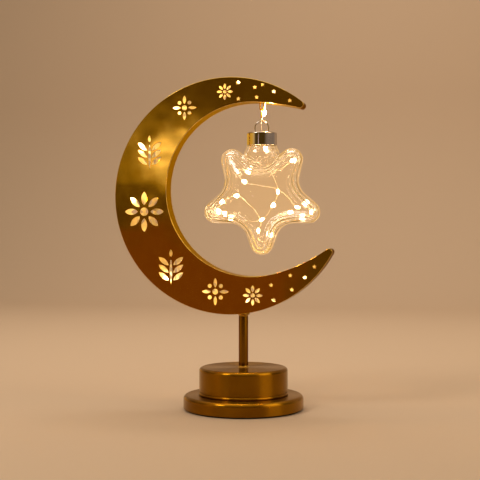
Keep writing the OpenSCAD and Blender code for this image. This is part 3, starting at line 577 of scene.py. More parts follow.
def piece(name, mesh, finish, body, replaces=(), crease=CREASE):
    """Puts a mesh in the scene as a piece that rides on a body."""
    shaded(mesh, finish, crease)
    made = bpy.data.objects.new(name, mesh)
    into_scene(made)
    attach(made, body)
    if replaces:
        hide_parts(*replaces)
    return made


def satin_sides(made, inward):
    """Gives a plate its satin inside, where inward is 1 or -1 along Y, and its paler cut edges; both are
    paler as painted light from the lamps within.
    """
    made.data.materials.append(FINISH["inside"])
    made.data.materials.append(FINISH["cut"])
    for face in made.data.polygons:
        facing = inward * face.normal.y
        if facing > INSIDE_FACING:
            face.material_index = 1
        elif abs(facing) < CUT_FACING:
            face.material_index = 2


def mesh_of(name, corners, faces):
    """A mesh from corners and faces, with all its faces turned outwards."""
    mesh = bpy.data.meshes.new(name)
    mesh.from_pydata([tuple(c) for c in corners], [], faces)
    mesh.validate()
    work = bmesh.new()
    work.from_mesh(mesh)
    bmesh.ops.recalc_face_normals(work, faces=work.faces)
    work.to_mesh(mesh)
    work.free()
    return mesh


def baked(made):
    """The final mesh of an object with its modifiers or bevels, and the object removed."""
    into_scene(made)
    bpy.context.view_layer.update()
    final = made.evaluated_get(bpy.context.evaluated_depsgraph_get())
    mesh = bpy.data.meshes.new_from_object(final)
    bpy.data.objects.remove(made)
    return mesh


# Outline of the crescent


def arc(centre, radius, start, end, steps):
    """Points on an arc, both ends included."""
    return [add(centre, polar(radius, start + (end - start) * i / steps)) for i in range(steps + 1)]


def flank(which):
    """The flatter arc towards a tip: (centre, radius, join point, tip centre)."""
    join = add(inner_centre, polar(INNER_R, FLAT_ANGLES[which]))
    tip = add(outer_centre, polar(OUTER_R - TIP_ROUND, TIP_ANGLES[which]))
    inward, _ = toward(join, inner_centre)
    run = (tip[0] - join[0], tip[1] - join[1])
    along = run[0] * inward[0] + run[1] * inward[1]
    radius = (run[0] ** 2 + run[1] ** 2 - TIP_ROUND**2) / (2 * (along + TIP_ROUND))
    return step(join, inward, radius), radius, join, tip


def crescent_edges():
    """The outline in two stretches, each a list of points: outer edge with both tips, and inner edge."""
    upper_centre, upper_r, upper_join, upper_tip = flank("upper")
    lower_centre, lower_r, lower_join, lower_tip = flank("lower")
    upper_touch = heading(upper_tip, upper_centre)
    lower_touch = heading(lower_tip, lower_centre)
    outer = (
        arc(lower_tip, TIP_ROUND, lower_touch, TIP_ANGLES["lower"], TIP_STEPS)
        + arc(outer_centre, OUTER_R, TIP_ANGLES["lower"], TIP_ANGLES["upper"] - 360, OUTER_STEPS)[1:]
        + arc(upper_tip, TIP_ROUND, TIP_ANGLES["upper"], upper_touch, TIP_STEPS)[1:]
    )
    upper_start = heading(upper_centre, upper_tip)
    upper_end = heading(upper_centre, upper_join)
    lower_start = heading(lower_centre, lower_join)
    lower_end = heading(lower_centre, lower_tip)
    inner = (
        arc(upper_centre, upper_r, upper_start, upper_end, UPPER_FLANK_STEPS)
        + arc(inner_centre, INNER_R, FLAT_ANGLES["upper"], FLAT_ANGLES["lower"] + 360, INNER_STEPS)[1:]
        + arc(lower_centre, lower_r, lower_start, lower_end, LOWER_FLANK_STEPS)[1:]
    )
    return outer, inner


outer_edge, inner_edge = crescent_edges()


def edge_reach(degrees):
    """Distance from the outer centre to the inner edge, along a direction."""
    nearest = min(inner_edge, key=lambda p: abs(turn_between(degrees, heading(outer_centre, p))))
    return math.dist(outer_centre, nearest)


def band_point(degrees, share):
    """The point at a share of the way across the band, from its inner to its outer edge."""
    reach = edge_reach(degrees)
    return add(outer_centre, polar(reach + share * (OUTER_R - reach), degrees))


# Pierced motifs: direction, share across the band, size as a share of the band, kind
MOTIFS = (
    (92, 0.5, 0.56, "rosette"),
    (117, 0.52, 0.62, "cross"),
    (151, 0.5, 0.68, "spray"),
    (-170, 0.46, 0.74, "rosette"),
    (-130, 0.5, 0.68, "spray"),
    (-98, 0.5, 0.62, "cross"),
    (-76, 0.54, 0.56, "rosette"),
)

# Small star holes: direction, share across the band
STAR_HOLES = (
    (85, 0.79), (76, 0.66), (72.5, 0.86), (84, 0.17), (73.5, 0.22), (66, 0.68), (56.5, 0.46),
    (-64, 0.35), (-66, 0.83), (-51.6, 0.27), (-55.4, 0.79), (-46.3, 0.68), (-39, 0.56),
)
STAR_HOLE_R = 1.85
STAR_HOLE_TIPS = 5

# Parts of a motif as shares of its size, and how wide petals and leaves are for their length
PETAL_SHARES = (0.17, 0.5)
HUB_SHARE = 0.1
DOT_SHARE = 0.07
DOT_REACH_SHARE = 0.3
SLOT_SHARE = 0.07
BUD_SHARE = 0.24
LEAF_SHARE = 0.36
ROSETTE_PETALS = 8
ROSETTE_WAIST = 0.44
CROSS_PETALS = 4
CROSS_WAIST = 0.36
LEAF_WAIST = 0.36
LEAF_TURN = 52
LEAF_ROWS = 3
ROW_PITCHES = 3.5
LEAF_STEPS = 10
ROUND_HOLE_STEPS = 20
BRIDGE = 1.2


def turned_by(points, degrees, shift=(0, 0)):
    """Points turned about the origin and then shifted."""
    across, up = polar(1, degrees)
    return [(across * x - up * y + shift[0], up * x + across * y + shift[1]) for x, y in points]


def lens(length, width):
    """A leaf shape with both ends on the x axis, from two arcs."""
    radius = (length**2 + width**2) / (4 * width)
    half = math.degrees(math.asin(length / 2 / radius))
    top = arc((0, width / 2 - radius), radius, 90 - half, 90 + half, LEAF_STEPS)
    bottom = arc((0, radius - width / 2), radius, 270 - half, 270 + half, LEAF_STEPS)
    return top[:-1] + bottom[:-1]


def round_hole(radius, centre=(0, 0)):
    return arc(centre, radius, 0, 360, ROUND_HOLE_STEPS)[:-1]


def petals(size, count, waist):
    """Petals round a motif's middle."""
    length = size * (PETAL_SHARES[1] - PETAL_SHARES[0])
    middle = size * sum(PETAL_SHARES) / 2
    shape = [(x + middle, y) for x, y in lens(length, length * waist)]
    return [turned_by(shape, i * 360 / count) for i in range(count)]


def rosette(size):
    return [round_hole(size * HUB_SHARE)] + petals(size, ROSETTE_PETALS, ROSETTE_WAIST)


def cross(size):
    """Four petals with a dot between each two."""
    dots = []
    for i in range(CROSS_PETALS):
        place = polar(size * DOT_REACH_SHARE, (i + 0.5) * 360 / CROSS_PETALS)
        dots.append(round_hole(size * DOT_SHARE, place))
    return [round_hole(size * HUB_SHARE)] + petals(size, CROSS_PETALS, CROSS_WAIST) + dots


def spray(size):
    """A stalk with a bud on top and pairs of leaves, held by bridges of sheet."""
    leaf = size * LEAF_SHARE
    bud = size * BUD_SHARE
    stalk = size - bud
    pitch = stalk / ROW_PITCHES
    loops = [
        turned_by(lens(stalk, size * SLOT_SHARE), 90, (0, -bud / 2)),
        turned_by(lens(bud - BRIDGE, bud * LEAF_WAIST), 90, (0, stalk / 2)),
    ]
    for row in range(LEAF_ROWS):
        for side in (-1, 1):
            foot = (side * (size * SLOT_SHARE / 2 + BRIDGE), -size / 2 + (row + 0.5) * pitch)
            shape = [(x + leaf / 2, y) for x, y in lens(leaf, leaf * LEAF_WAIST)]
            loops.append(turned_by(shape, 90 - side * LEAF_TURN, foot))
    return loops


def star_hole():
    """A small star with one tip up: its tips and the notches half as far out."""
    points = []
    for i in range(2 * STAR_HOLE_TIPS):
        reach = STAR_HOLE_R if i % 2 == 0 else STAR_HOLE_R / 2
        points.append(polar(reach, 90 + i * 180 / STAR_HOLE_TIPS))
    return points


MOTIF_SHAPES = {"rosette": rosette, "cross": cross, "spray": spray}


def pierced_loops():
    """Every hole of a plate, as a list of closed loops."""
    loops = []
    for degrees, share, size_share, kind in MOTIFS:
        size = size_share * (OUTER_R - edge_reach(degrees))
        drawn = MOTIF_SHAPES[kind](size)
        loops += [[add(p, band_point(degrees, share)) for p in loop] for loop in drawn]
    for degrees, share in STAR_HOLES:
        loops.append([add(p, band_point(degrees, share)) for p in star_hole()])
    return loops


def crescent_plate(name, y_mid, replaced):
    """A pierced plate with its edges rolled over a little."""
    flat = bpy.data.curves.new(name, "CURVE")
    flat.dimensions = "2D"
    flat.fill_mode = "BOTH"
    flat.extrude = (SHEET / 2 - EDGE_ROUND) * MM
    flat.bevel_depth = EDGE_ROUND * MM
    flat.bevel_resolution = EDGE_ROUND_STEPS
    flat.offset = -EDGE_ROUND * MM
    for loop in [outer_edge[:-1] + inner_edge[:-1]] + pierced_loops():
        spline = flat.splines.new("POLY")
        spline.points.add(len(loop) - 1)
        spline.use_cyclic_u = True
        for point, (x, z) in zip(spline.points, loop):
            point.co = (x * MM, z * MM, 0, 1)
    mesh = baked(bpy.data.objects.new(name, flat))
    mesh.transform(Matrix.Translation((0, y_mid * MM, 0)) @ Matrix.Rotation(math.radians(90), 4, "X"))
    made = piece(name, mesh, "sheet", "stand", (replaced,), crease=PLATE_CREASE)
    satin_sides(made, -math.copysign(1, y_mid))


def rim_strip(name, edge, finish, replaced):
    """A bent strip between the plates, as thick as the sheet, on the inner side of an edge line."""
    half = depth_half - SHEET
    rows = []
    for i, p in enumerate(edge):
        # Along the edge, from the point before to the point after
        run, _ = toward(edge[max(i - 1, 0)], edge[min(i + 1, len(edge) - 1)])
        inward = step(p, (run[1], -run[0]), SHEET)
        section = ((p, -half), (p, half), (inward, half), (inward, -half))
        rows.append([(q[0] * MM, y * MM, q[1] * MM) for q, y in section])
    corners = [c for row in rows for c in row]
    faces = [
        (4 * i + k, 4 * i + (k + 1) % 4, 4 * i + 4 + (k + 1) % 4, 4 * i + 4 + k)
        for i in range(len(rows) - 1)
        for k in range(4)
    ]
    last = 4 * (len(rows) - 1)
    faces += [(0, 1, 2, 3), (last, last + 1, last + 2, last + 3)]
    made = piece(name, mesh_of(name, corners, faces), finish, "stand", (replaced,))
    made.data.materials.append(FINISH["inside"])
    # Every fourth face looks into the crescent
    for i in range(2, last, 4):
        made.data.polygons[i].material_index = 1


def wire(name, points, radius, finish, body, replaced=(), cyclic=False):
    """A smooth round wire through points given in metres."""
    curve = bpy.data.curves.new(name, "CURVE")
    curve.dimensions = "3D"
    curve.bevel_depth = radius * MM
    curve.bevel_resolution = WIRE_ROUND_STEPS
    curve.use_fill_caps = True
    curve.resolution_u = WIRE_LENGTH_STEPS
    spline = curve.splines.new("BEZIER")
    spline.bezier_points.add(len(points) - 1)
    spline.use_cyclic_u = cyclic
    for knot, place in zip(spline.bezier_points, points):
        knot.co = place
        knot.handle_left_type = "AUTO"
        knot.handle_right_type = "AUTO"
    mesh = baked(bpy.data.objects.new(name, curve))
    piece(name, mesh, finish, body, replaced, crease=ROUND_CREASE)


# Crescent

crescent_plate("crescent_front", -depth_half + SHEET / 2, "crescent_front_plate")
crescent_plate("crescent_back", depth_half - SHEET / 2, "crescent_back_plate")
rim_strip("crescent_outer_strip", outer_edge, "outer_strip", "crescent_outer_rim")
rim_strip("crescent_inner_strip", inner_edge, "inner_strip", "crescent_inner_rim")

# Star of blown glass


def rounded_corner(before, corner, after, radius):
    """The arc that rounds a corner between its two neighbours."""
    u, _ = toward(corner, before)
    v, _ = toward(corner, after)
    half = math.acos(max(-1, min(1, u[0] * v[0] + u[1] * v[1]))) / 2
    way, _ = toward((0, 0), add(u, v))
    middle = step(corner, way, radius / math.sin(half))
    reach = radius / math.tan(half)
    start = heading(middle, step(corner, u, reach))
    end = heading(middle, step(corner, v, reach))
    return arc(middle, radius, start, start + turn_between(start, end), CORNER_STEPS)


def star_outline():
    """The star's outline from its lowest point on, with every point and notch rounded."""
    corners = []
    for i in range(STAR_CORNERS):
        if i % 2 == 0:
            reach = STAR_POINT_R * STAR_POINT_SHARES[i // 2]
        else:
            reach = STAR_NOTCH_R * STAR_NOTCH_SHARES[i // 2]
        corners.append(polar(reach, -90 + i * 360 / STAR_CORNERS))
    points = []
    for i, corner in enumerate(corners):
        radius = STAR_POINT_ROUND if i % 2 == 0 else STAR_NOTCH_ROUND
        points += rounded_corner(corners[i - 1], corner, corners[(i + 1) % STAR_CORNERS], radius)
    return points


def blown_heights(outline):
    """How far a skin inside the outline swells under an even pressure, on a grid of cells."""
    line = np.array(outline)
    low = line.min(0) - 2 * SWELL_CELL
    size = np.ceil((line.max(0) - low) / SWELL_CELL).astype(int) + 3
    x = low[0] + SWELL_CELL * np.arange(size[0])[:, None]
    y = low[1] + SWELL_CELL * np.arange(size[1])[None, :]
    inside = np.zeros(size, bool)
    for (x0, y0), (x1, y1) in zip(line, np.roll(line, -1, 0)):
        if y0 == y1:
            continue
        inside ^= ((y0 > y) != (y1 > y)) & (x < (x1 - x0) * (y - y0) / (y1 - y0) + x0)
    swell = np.zeros(size)
    for _ in range(SWELL_ROUNDS):
        spread = (
            np.roll(swell, 1, 0) + np.roll(swell, -1, 0) + np.roll(swell, 1, 1) + np.roll(swell, -1, 1)
        )
        swell = np.where(inside, spread / 4 + 1, 0)
    return low, swell / swell.max()


def swell_at(low, swell, x, z):
    """The swell at a point, blended from the four cells round it."""
    i, fx = divmod((x - low[0]) / SWELL_CELL, 1)
    j, fz = divmod((z - low[1]) / SWELL_CELL, 1)
    i = int(i)
    j = int(j)
    return (
        swell[i, j] * (1 - fx) * (1 - fz)
        + swell[i + 1, j] * fx * (1 - fz)
        + swell[i, j + 1] * (1 - fx) * fz
        + swell[i + 1, j + 1] * fx * fz
    )


def index_rows(start, count, rows):
    """Rows of corner numbers, each of one count."""
    return [list(range(start + r * count, start + (r + 1) * count)) for r in range(rows)]


def star_body_mesh():
    """The blown star without its neck: rings of the outline drawn in towards the middle, front and back."""
    outline = star_outline()
    low, swell = blown_heights(outline)
    corners = []
    faces = []
    count = len(outline)
    for side in (-1, 1):
        # The back has no outer ring of its own: it shares the front's
        for ring in range(1 if side > 0 else 0, STAR_RINGS):
            share = 1 - (ring / STAR_RINGS) ** 2
            for px, pz in outline:
                value = swell_at(low, swell, share * px, share * pz)
                height = 0 if ring == 0 else STAR_HALF_DEPTH * value**STAR_FULLNESS
                corners.append((share * px, side * height, share * pz))
    front_pole = len(corners)
    corners += [(0, -STAR_HALF_DEPTH, 0), (0, STAR_HALF_DEPTH, 0)]
    front_rows = index_rows(0, count, STAR_RINGS)
    back_rows = index_rows(STAR_RINGS * count, count, STAR_RINGS - 1)
    rows = {-1: front_rows, 1: front_rows[:1] + back_rows}
    for side in (-1, 1):
        for row, further in zip(rows[side], rows[side][1:]):
            for k in range(count):
                following = (k + 1) % count
                faces.append((row[k], row[following], further[following], further[k]))
        pole = front_pole if side < 0 else front_pole + 1
        last = rows[side][-1]
        faces += [(last[k], last[(k + 1) % count], pole) for k in range(count)]
    return corners, faces


def neck_profile():
    """Half profile of the neck: swells below the lip and runs down into the body."""
    lip = NECK_DROP - NECK_LIP
    cap_r = (cap_high.x - cap_low.x) / 2 / MM
    side = [(cap_r * r, lip * z) for r, z in NECK_FLARE_SHARES]
    shoulder = NECK_DROP - NECK_CAP_PLAY
    top = cap_high.z / MM - star_centre.z / MM - NECK_TOP_PLAY
    return [(0, side[0][1])] + side + [(cap_r, shoulder), (NECK_R, shoulder), (NECK_R, top), (0, top)]


def lathe_faces(profile, segments):
    """Corners and faces of a closed turned solid whose profile starts and ends on the axis."""
    corners = [(0, 0, profile[0][1]), (0, 0, profile[-1][1])]
    inner = profile[1:-1]
    for i in range(segments):
        turn = 2 * math.pi * i / segments
        corners += [(r * math.cos(turn), r * math.sin(turn), z) for r, z in inner]
    count = len(inner)
    faces = []
    for i in range(segments):
        j = (i + 1) % segments
        faces.append((0, 2 + j * count, 2 + i * count))
        faces.append((1, 1 + (i + 1) * count, 1 + (j + 1) * count))
        for k in range(count - 1):
            here = 2 + i * count + k
            beside = 2 + j * count + k
            faces.append((here, beside, beside + 1, here + 1))
    return corners, faces


def fused(parts):
    """One smooth skin round several overlapping closed meshes, given in millimetres."""
    corners = []
    faces = []
    for part_corners, part_faces in parts:
        base = len(corners)
        corners += part_corners
        faces += [tuple(base + k for k in face) for face in part_faces]
    blank = mesh_of("star_blank", [Vector(c) * MM for c in corners], faces)
    made = bpy.data.objects.new("star_blank", blank)
    skin = made.modifiers.new("skin", "REMESH")
    skin.mode = "VOXEL"
    skin.voxel_size = SKIN_VOXEL * MM
    even = made.modifiers.new("even", "SMOOTH")
    even.factor = SKIN_SOFTNESS
    even.iterations = SKIN_SMOOTHING
    return baked(made)


def waves_round(bearing, terms):
    """Sum of the waves round the star at each bearing."""
    return sum(height * np.sin(number * bearing + phase) for height, number, phase in terms)


def edge_ripples(mesh, outline):
    """Shallow mould ripples that follow the star's outline a little way in from its edge."""
    count = len(mesh.vertices)
    places = np.empty(count * 3)
    normals = np.empty(count * 3)
    mesh.vertices.foreach_get("co", places)
    mesh.vertex_normals.foreach_get("vector", normals)
    places = places.reshape(count, 3)
    normals = normals.reshape(count, 3)
    flat = places[:, [0, 2]] / MM
    start = np.array(outline)
    run = np.roll(start, -1, 0) - start
    reach = np.full(count, np.inf)
    for (x0, z0), (dx, dz) in zip(start, run):
        px = flat[:, 0] - x0
        pz = flat[:, 1] - z0
        share = np.clip((px * dx + pz * dz) / (dx * dx + dz * dz), 0, 1)
        reach = np.minimum(reach, np.hypot(px - share * dx, pz - share * dz))
    fade = np.clip(1 - reach / RIPPLE_REACH, 0, 1) * np.clip(reach / RIPPLE_PITCH, 0, 1)
    bearing = np.arctan2(flat[:, 1], flat[:, 0])
    strength = RIPPLE_HEIGHT * (RIPPLE_EVEN + waves_round(bearing, RIPPLE_UNEVEN))
    phase = 2 * math.pi * reach / RIPPLE_PITCH + waves_round(bearing, RIPPLE_SWAY)
    height = strength * fade * np.sin(phase)
    places += normals * height[:, None] * MM
    mesh.vertices.foreach_set("co", places.ravel())
    mesh.update()
    return mesh


def hollowed(mesh, wall):
    """Adds an inner skin to a closed mesh, a wall's thickness inside it."""
    made = bmesh.new()
    made.from_mesh(mesh)
    made.normal_update()
    outer = list(made.verts)
    inner = [made.verts.new(v.co - v.normal * wall * MM) for v in outer]
    made.verts.index_update()
    for face in list(made.faces):
        made.faces.new([inner[v.index] for v in reversed(face.verts)])
    made.to_mesh(mesh)
    made.free()
    return mesh


star_mesh = fused([star_body_mesh(), lathe_faces(neck_profile(), NECK_SEGMENTS)])
star_mesh = hollowed(edge_ripples(star_mesh, star_outline()), GLASS_WALL)
star_mesh.transform(Matrix.Translation(star_centre))
piece("blown_star", star_mesh, "glass", "star", ("star_glass",), crease=ROUND_CREASE)

# Lights in the star: the wire's route in millimetres from the star's middle, and the beads on it
STAR_ROUTE = (
    (0, -3.6, 69.1), (0, -3.6, 66.5), (0, -2.4, 63), (0, -0.6, 60.6), (0, 0, 58), (1.5, 0, 51),
    (3.2, -1, 44.4), (6, -5, 38), (7, -6, 29), (12, -11, 20), (17, -12, 5), (12.5, -12.5, -7),
    (2.5, -13, -20), (-14, -11, -21), (-28, -4, -18), (-34, -3, -14), (-41, 0, -12), (-37, 2, -4),
    (-24, 0, 2), (-12, -8, -4.8), (-2, -10, -15), (1, -9, -24), (-2, -6, -30), (-1, 0, -40),
    (8, 3, -34), (11, 4, -22), (26, 3, -13), (37, 2, -18), (46, 0, -13), (41, -2, -5),
    (34, -7, -9), (26, -10, 0), (17, -14, 7), (2, -13, 10.5), (-15, -8, 14.4), (-22, 2, 26),
    (-14, 6, 24), (0, 8, 22), (16, 6, 26), (28, 2, 34),
)
STAR_BEADS = (6, 10, 11, 12, 14, 15, 16, 17, 18, 22, 24, 26, 27, 28, 29, 30, 34, 36, 39)


def bead_mesh(name, places):
    """Resin drops on a wire: each (place, direction) in metres."""
    corners = []
    faces = []
    half = BEAD_L / 2
    shape = [(0, -half)]
    for i in range(1, BEAD_STEPS):
        turn = math.pi * i / BEAD_STEPS
        shape.append((BEAD_R * math.sin(turn) ** BEAD_FULLNESS, -half * math.cos(turn)))
    shape.append((0, half))
    for place, way in places:
        part_corners, part_faces = lathe_faces(shape, BEAD_SEGMENTS)
        turn = Vector(way).to_track_quat("Z", "Y").to_matrix()
        base = len(corners)
        corners += [turn @ (Vector(c) * MM) + Vector(place) for c in part_corners]
        faces += [tuple(base + k for k in face) for face in part_faces]
    return mesh_of(name, corners, faces)


star_points = [star_centre + Vector(p) * MM for p in STAR_ROUTE]
wire("star_wire", star_points, WIRE_R, "lead", "star", ("star_light_wire",))
star_bead_places = []
for i in STAR_BEADS:
    following = star_points[min(i + 1, len(star_points) - 1)]
    star_bead_places.append((star_points[i], following - star_points[i - 1]))
star_beads = bead_mesh("star_beads", star_bead_places)
piece("star_beads", star_beads, "bead", "star", ("star_light_beads",), crease=ROUND_CREASE)

# Rolled bead round the drum's foot
drum_low, drum_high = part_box("drum_cover")
foot_bead_ring = [
    (*polar(drum_high.x - FOOT_BEAD_SINK * MM, i * 360 / FOOT_BEAD_KNOTS), drum_low.z + FOOT_BEAD_R * MM)
    for i in range(FOOT_BEAD_KNOTS)
]
wire("drum_foot_bead", foot_bead_ring, FOOT_BEAD_R, "spun", "stand", cyclic=True)

# Finishes of the pieces that keep their CAD shape
KEPT = {
    "spun": ("drum_cover", "base_disc"),
    "tube": ("stem_tube",),
    "wire": ("hanging_staple", "hanging_link"),
    "braze": ("stem_top_braze", "stem_foot_braze"),
    "nickel": ("star_bail", "star_cap"),
    "bead": ("crescent_light_beads", "link_bead"),
    "lead": ("crescent_light_wire", "link_lead"),
    "dark": ("closing_plate", "battery_box", "battery_door"),
    "foam": ("foot_ring",),
    "cell": ("battery_cells",),
    "board": ("control_board",),
    "chip": ("board_chips", "switch_knob"),
    "steel": ("plate_screws", "box_screws", "contact_plates", "contact_springs", "switch_housing"),
}
for finish, names in KEPT.items():
    for name in names:
        nodes[name].data.materials.clear()
        nodes[name].data.materials.append(FINISH[finish])

# Studio: one pale sweep, soft lamps and the camera, in metres and degrees

CAMERA_DISTANCE = 0.97
CAMERA_HEIGHT = 0.167
CAMERA_TURN = 12.0
CAMERA_PITCH = 0.65
CAMERA_SIDE = -0.0032
CAMERA_LENS = 78.75
CAMERA_SENSOR = 36
SWEEP_COLOUR = (0.56, 0.385, 0.238, 1)
SWEEP_FRONT = -0.6
SWEEP_BACK = 1.7
SWEEP_BEND = 0.5
SWEEP_STEPS = 16
SWEEP_HALF_WIDTH = 1.1
SWEEP_HEIGHT = 1.9
SWEEP_ROUGHNESS = 0.9
SWEEP_SHINE = 0.2

# Lamps: name, place, target, size, power, colour
LAMPS = (
    ("key", (-0.85, -0.9, 1.25), (0, 0, 0.15), 0.5, 8, (1, 0.95, 0.88)),
    ("overhead", (-0.2, 0.25, 1.3), (0, -0.05, 0), 1.3, 8, (1, 0.94, 0.87)),
    ("fill", (1.1, -0.2, 1.1), (0, 0, 0.12), 0.8, 3, (1, 0.93, 0.84)),
    ("backdrop", (0.0, 0.5, 1.5), (0, 1.7, 0.65), 0.7, 9, (1, 0.93, 0.86)),
)

# Room round the object, as light colours by direction
ROOM_DARK = (0.100, 0.057, 0.010, 1)
ROOM_LOW = (0.190, 0.063, 0.010, 1)
ROOM_SIDE = (0.22, 0.155, 0.085, 1)
ROOM_RIGHT_BAND = (2.0, 1.40, 0.60, 1)
ROOM_LEFT_BAND = (0.95, 0.62, 0.20, 1)
ROOM_WALL = (0.34, 0.26, 0.20, 1)
ROOM_CEILING = (0.95, 0.72, 0.44, 1)
ROOM_GLOW = (1.1, 0.60, 0.06, 1)
ROOM_WINDOW = (2.5, 2.0, 2.6, 1)
ROOM_CURTAIN = (0.36, 0.24, 0.03, 1)
ROOM_PLAIN = (0.30, 0.27, 0.235, 1)

# Where the warmer lower left of the front ends, to the right and upwards, and where both sides begin
ROOM_LOW_X = (-0.175, -0.125)
ROOM_LOW_Z = (-0.012, 0.012)
ROOM_SIDE_X = (0.45, 0.9)

# Zones laid over that one by one: colour, and the steps along an axis that bound the zone
ROOM_ZONES = (
    (ROOM_RIGHT_BAND, (("X", 0.5, 0.6), ("Y", -0.62, -0.45), ("Y", 0.12, -0.12))),
    (ROOM_LEFT_BAND, (("X", -0.5, -0.6), ("Y", -0.75, -0.6), ("Y", -0.25, -0.45))),
    (ROOM_WALL, (("X", 0.45, 0.85), ("Z", 0.025, 0.045), ("Z", 0.14, 0.12))),
    (SWEEP_COLOUR, (("Y", 0.3, 0.8),)),
    (ROOM_CEILING, (("Z", 0.45, 0.8),)),
    (ROOM_GLOW, (("X", -0.4, -0.6), ("Y", -0.55, -0.35), ("Z", 0.04, 0.07), ("Z", 0.22, 0.12))),
)

# Bright window and the dimmer curtain round it, by direction, with the curtain's slanting hem
WINDOW_WAY = (-0.266, -0.94, 0.070)
WINDOW_REACH = 0.040
WINDOW_CORE = 0.008
WINDOW_FLATNESS = 1.7
CURTAIN_WAY = (-0.277, -0.94, 0.054)
CURTAIN_REACH = 0.082
CURTAIN_CORE = 0.031
CURTAIN_SLANT = 0.27
CURTAIN_HEM = (-0.051, -0.041)


def sweep():
    """Floor and backdrop in one curved sheet."""
    bend = arc((SWEEP_BACK - SWEEP_BEND, SWEEP_BEND), SWEEP_BEND, -90, 0, SWEEP_STEPS)
    line = [(SWEEP_FRONT, 0)] + bend + [(SWEEP_BACK, SWEEP_HEIGHT)]
    corners = [(x, y, z) for y, z in line for x in (-SWEEP_HALF_WIDTH, SWEEP_HALF_WIDTH)]
    faces = [(2 * i, 2 * i + 1, 2 * i + 3, 2 * i + 2) for i in range(len(line) - 1)]
    mesh = bpy.data.meshes.new("sweep")
    mesh.from_pydata(corners, [], faces)
    for face in mesh.polygons:
        face.use_smooth = True
    made = bpy.data.objects.new("sweep", mesh)
    into_scene(made)
    paper = bpy.data.materials.new("pale_paper")
    paper.use_nodes = True
    shader = paper.node_tree.nodes["Principled BSDF"]
    shader.inputs["Base Color"].default_value = SWEEP_COLOUR
    shader.inputs["Roughness"].default_value = SWEEP_ROUGHNESS
    shader.inputs["Specular IOR Level"].default_value = SWEEP_SHINE
    mesh.materials.append(paper)


def lamp(name, place, target, size, power, colour):
    """A soft round lamp that points at a target."""
    light = bpy.data.lights.new(name, "AREA")
    light.shape = "DISK"
    light.size = size
    light.energy = power
    light.color = colour
    made = bpy.data.objects.new(name, light)
    made.location = place
    made.rotation_euler = (Vector(target) - Vector(place)).to_track_quat("-Z", "Y").to_euler()
    into_scene(made)


def product(tree, first, *others):
    """The product of several masks."""
    for other in others:
        made = node(tree, "ShaderNodeMath", operation="MULTIPLY")
        link(tree, first, made.inputs[0])
        link(tree, other, made.inputs[1])
        first = made.outputs[0]
    return first


def spot(tree, way, centre, flatness, reach, core):
    """A mask round a direction: full within the core, none beyond the reach, and flattened in height."""
    offset = node(tree, "ShaderNodeVectorMath", operation="SUBTRACT")
    link(tree, way, offset.inputs[0])
    offset.inputs[1].default_value = Vector(centre).normalized()
    flattened = node(tree, "ShaderNodeVectorMath", operation="MULTIPLY")
    link(tree, offset.outputs["Vector"], flattened.inputs[0])
    flattened.inputs[1].default_value = (1, 1, flatness)
    span = node(tree, "ShaderNodeVectorMath", operation="LENGTH")
    link(tree, flattened.outputs["Vector"], span.inputs[0])
    return between(tree, span.outputs["Value"], reach, core)


def zone(tree, split, steps):
    """A mask that is full within all of its steps, each an axis with the values where it starts and ends."""
    return product(tree, *(between(tree, split.outputs[axis], low, high) for axis, low, high in steps))


def reflected_room(tree):
    """The room's colour by direction, as the polished parts mirror it."""
    way = node(tree, "ShaderNodeTexCoord").outputs["Generated"]
    split = node(tree, "ShaderNodeSeparateXYZ")
    link(tree, way, split.inputs[0])
    colour = mixed(tree, between(tree, split.outputs["X"], *ROOM_LOW_X), ROOM_LOW, ROOM_DARK)
    colour = mixed(tree, between(tree, split.outputs["Z"], *ROOM_LOW_Z), colour, ROOM_DARK)
    side = node(tree, "ShaderNodeMath", operation="ABSOLUTE")
    link(tree, split.outputs["X"], side.inputs[0])
    colour = mixed(tree, between(tree, side.outputs[0], *ROOM_SIDE_X), colour, ROOM_SIDE)
    for zone_colour, steps in ROOM_ZONES:
        colour = mixed(tree, zone(tree, split, steps), colour, zone_colour)
    hem = node(tree, "ShaderNodeVectorMath", operation="DOT_PRODUCT")
    link(tree, way, hem.inputs[0])
    hem.inputs[1].default_value = (CURTAIN_SLANT, 0, 1)
    curtain = product(
        tree,
        spot(tree, way, CURTAIN_WAY, 1, CURTAIN_REACH, CURTAIN_CORE),
        between(tree, hem.outputs["Value"], *CURTAIN_HEM),
    )
    colour = mixed(tree, curtain, colour, ROOM_CURTAIN)
    pane = spot(tree, way, WINDOW_WAY, WINDOW_FLATNESS, WINDOW_REACH, WINDOW_CORE)
    return mixed(tree, pane, colour, ROOM_WINDOW)


def room():
    """A plain room: even for the camera, the glass and the lighting, shaded for reflections."""
    world = bpy.data.worlds.new("room")
    world.use_nodes = True
    tree = world.node_tree
    rays = node(tree, "ShaderNodeLightPath")
    lit = mixed(tree, rays.outputs["Is Glossy Ray"], ROOM_PLAIN, reflected_room(tree))
    lit = mixed(tree, rays.outputs["Is Transmission Ray"], lit, SWEEP_COLOUR)
    lit = mixed(tree, rays.outputs["Is Camera Ray"], lit, SWEEP_COLOUR)
    link(tree, lit, tree.nodes["Background"].inputs["Color"])
    bpy.context.scene.world = world


def small_lights(name, places, power, colour):
    """Warm lights at the lit beads."""
    for i, place in enumerate(places):
        light = bpy.data.lights.new(f"{name}_{i}", "POINT")
        light.energy = power
        light.color = colour
        light.shadow_soft_size = LIGHT_SOFTNESS
        made = bpy.data.objects.new(light.name, light)
        made.location = place
        into_scene(made)


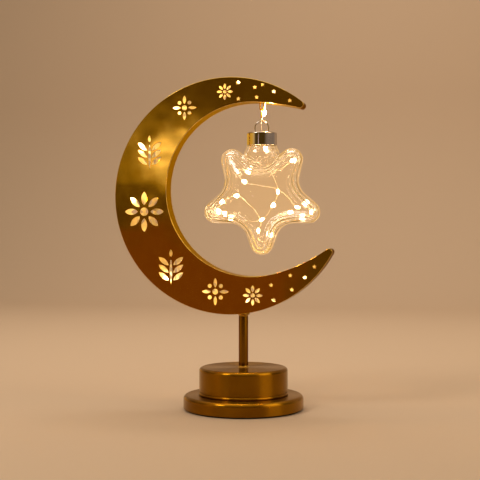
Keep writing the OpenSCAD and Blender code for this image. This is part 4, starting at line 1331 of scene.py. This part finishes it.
def studio():
    """The whole set round the object."""
    sweep()
    for settings in LAMPS:
        lamp(*settings)
    room()
    bpy.context.scene.view_settings.view_transform = "Standard"


def camera():
    """The camera in front of the object, a little to the right of its middle."""
    turn = math.radians(CAMERA_TURN)
    optics = bpy.data.cameras.new("camera")
    optics.lens = CAMERA_LENS
    optics.sensor_width = CAMERA_SENSOR
    made = bpy.data.objects.new("camera", optics)
    away = Vector((math.sin(turn), -math.cos(turn), 0)) * CAMERA_DISTANCE
    side = Vector((math.cos(turn), math.sin(turn), 0)) * CAMERA_SIDE
    made.location = away + side + Vector((0, 0, CAMERA_HEIGHT))
    made.rotation_euler = Euler((math.radians(90 - CAMERA_PITCH), 0, turn))
    into_scene(made)
    bpy.context.scene.camera = made


# Small lights at the lit beads: clearance in millimetres, shifts and softness in metres, power in watts
CRESCENT_LIGHT_ANGLES = (68, 85, 104, 126, 152, 180, -156, -130, -110, -85, -64, -50)
CRESCENT_LIGHT_CLEAR = 4.0
CRESCENT_LIGHT_R = OUTER_R - SHEET - 2 * BEAD_R - CRESCENT_LIGHT_CLEAR
CRESCENT_LIGHT_POWER = 0.012
LINK_LIGHT_SHIFT = Vector((0.006, -0.003, 0.003))
LINK_LIGHT_POWER = 0.12
STAR_LIGHT_SHIFT = Vector((0, 0.004, 0))
STAR_LIGHT_POWER = 0.03
LIGHT_SOFTNESS = 0.002

crescent_light_places = []
for light_angle in CRESCENT_LIGHT_ANGLES:
    x, z = add(outer_centre, polar(CRESCENT_LIGHT_R, light_angle))
    crescent_light_places.append((x * MM, 0, z * MM))
link_bead_low, link_bead_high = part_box("link_bead")
link_light_places = [(link_bead_low + link_bead_high) / 2 + LINK_LIGHT_SHIFT]
star_light_places = [star_points[i] + STAR_LIGHT_SHIFT for i in STAR_BEADS[::2]]

studio()
small_lights("crescent_light", crescent_light_places, CRESCENT_LIGHT_POWER, INSIDE_LED_COLOUR)
small_lights("link_light", link_light_places, LINK_LIGHT_POWER, LED_COLOUR)
small_lights("star_light", star_light_places, STAR_LIGHT_POWER, LED_COLOUR)
camera()

bpy.context.view_layer.update()
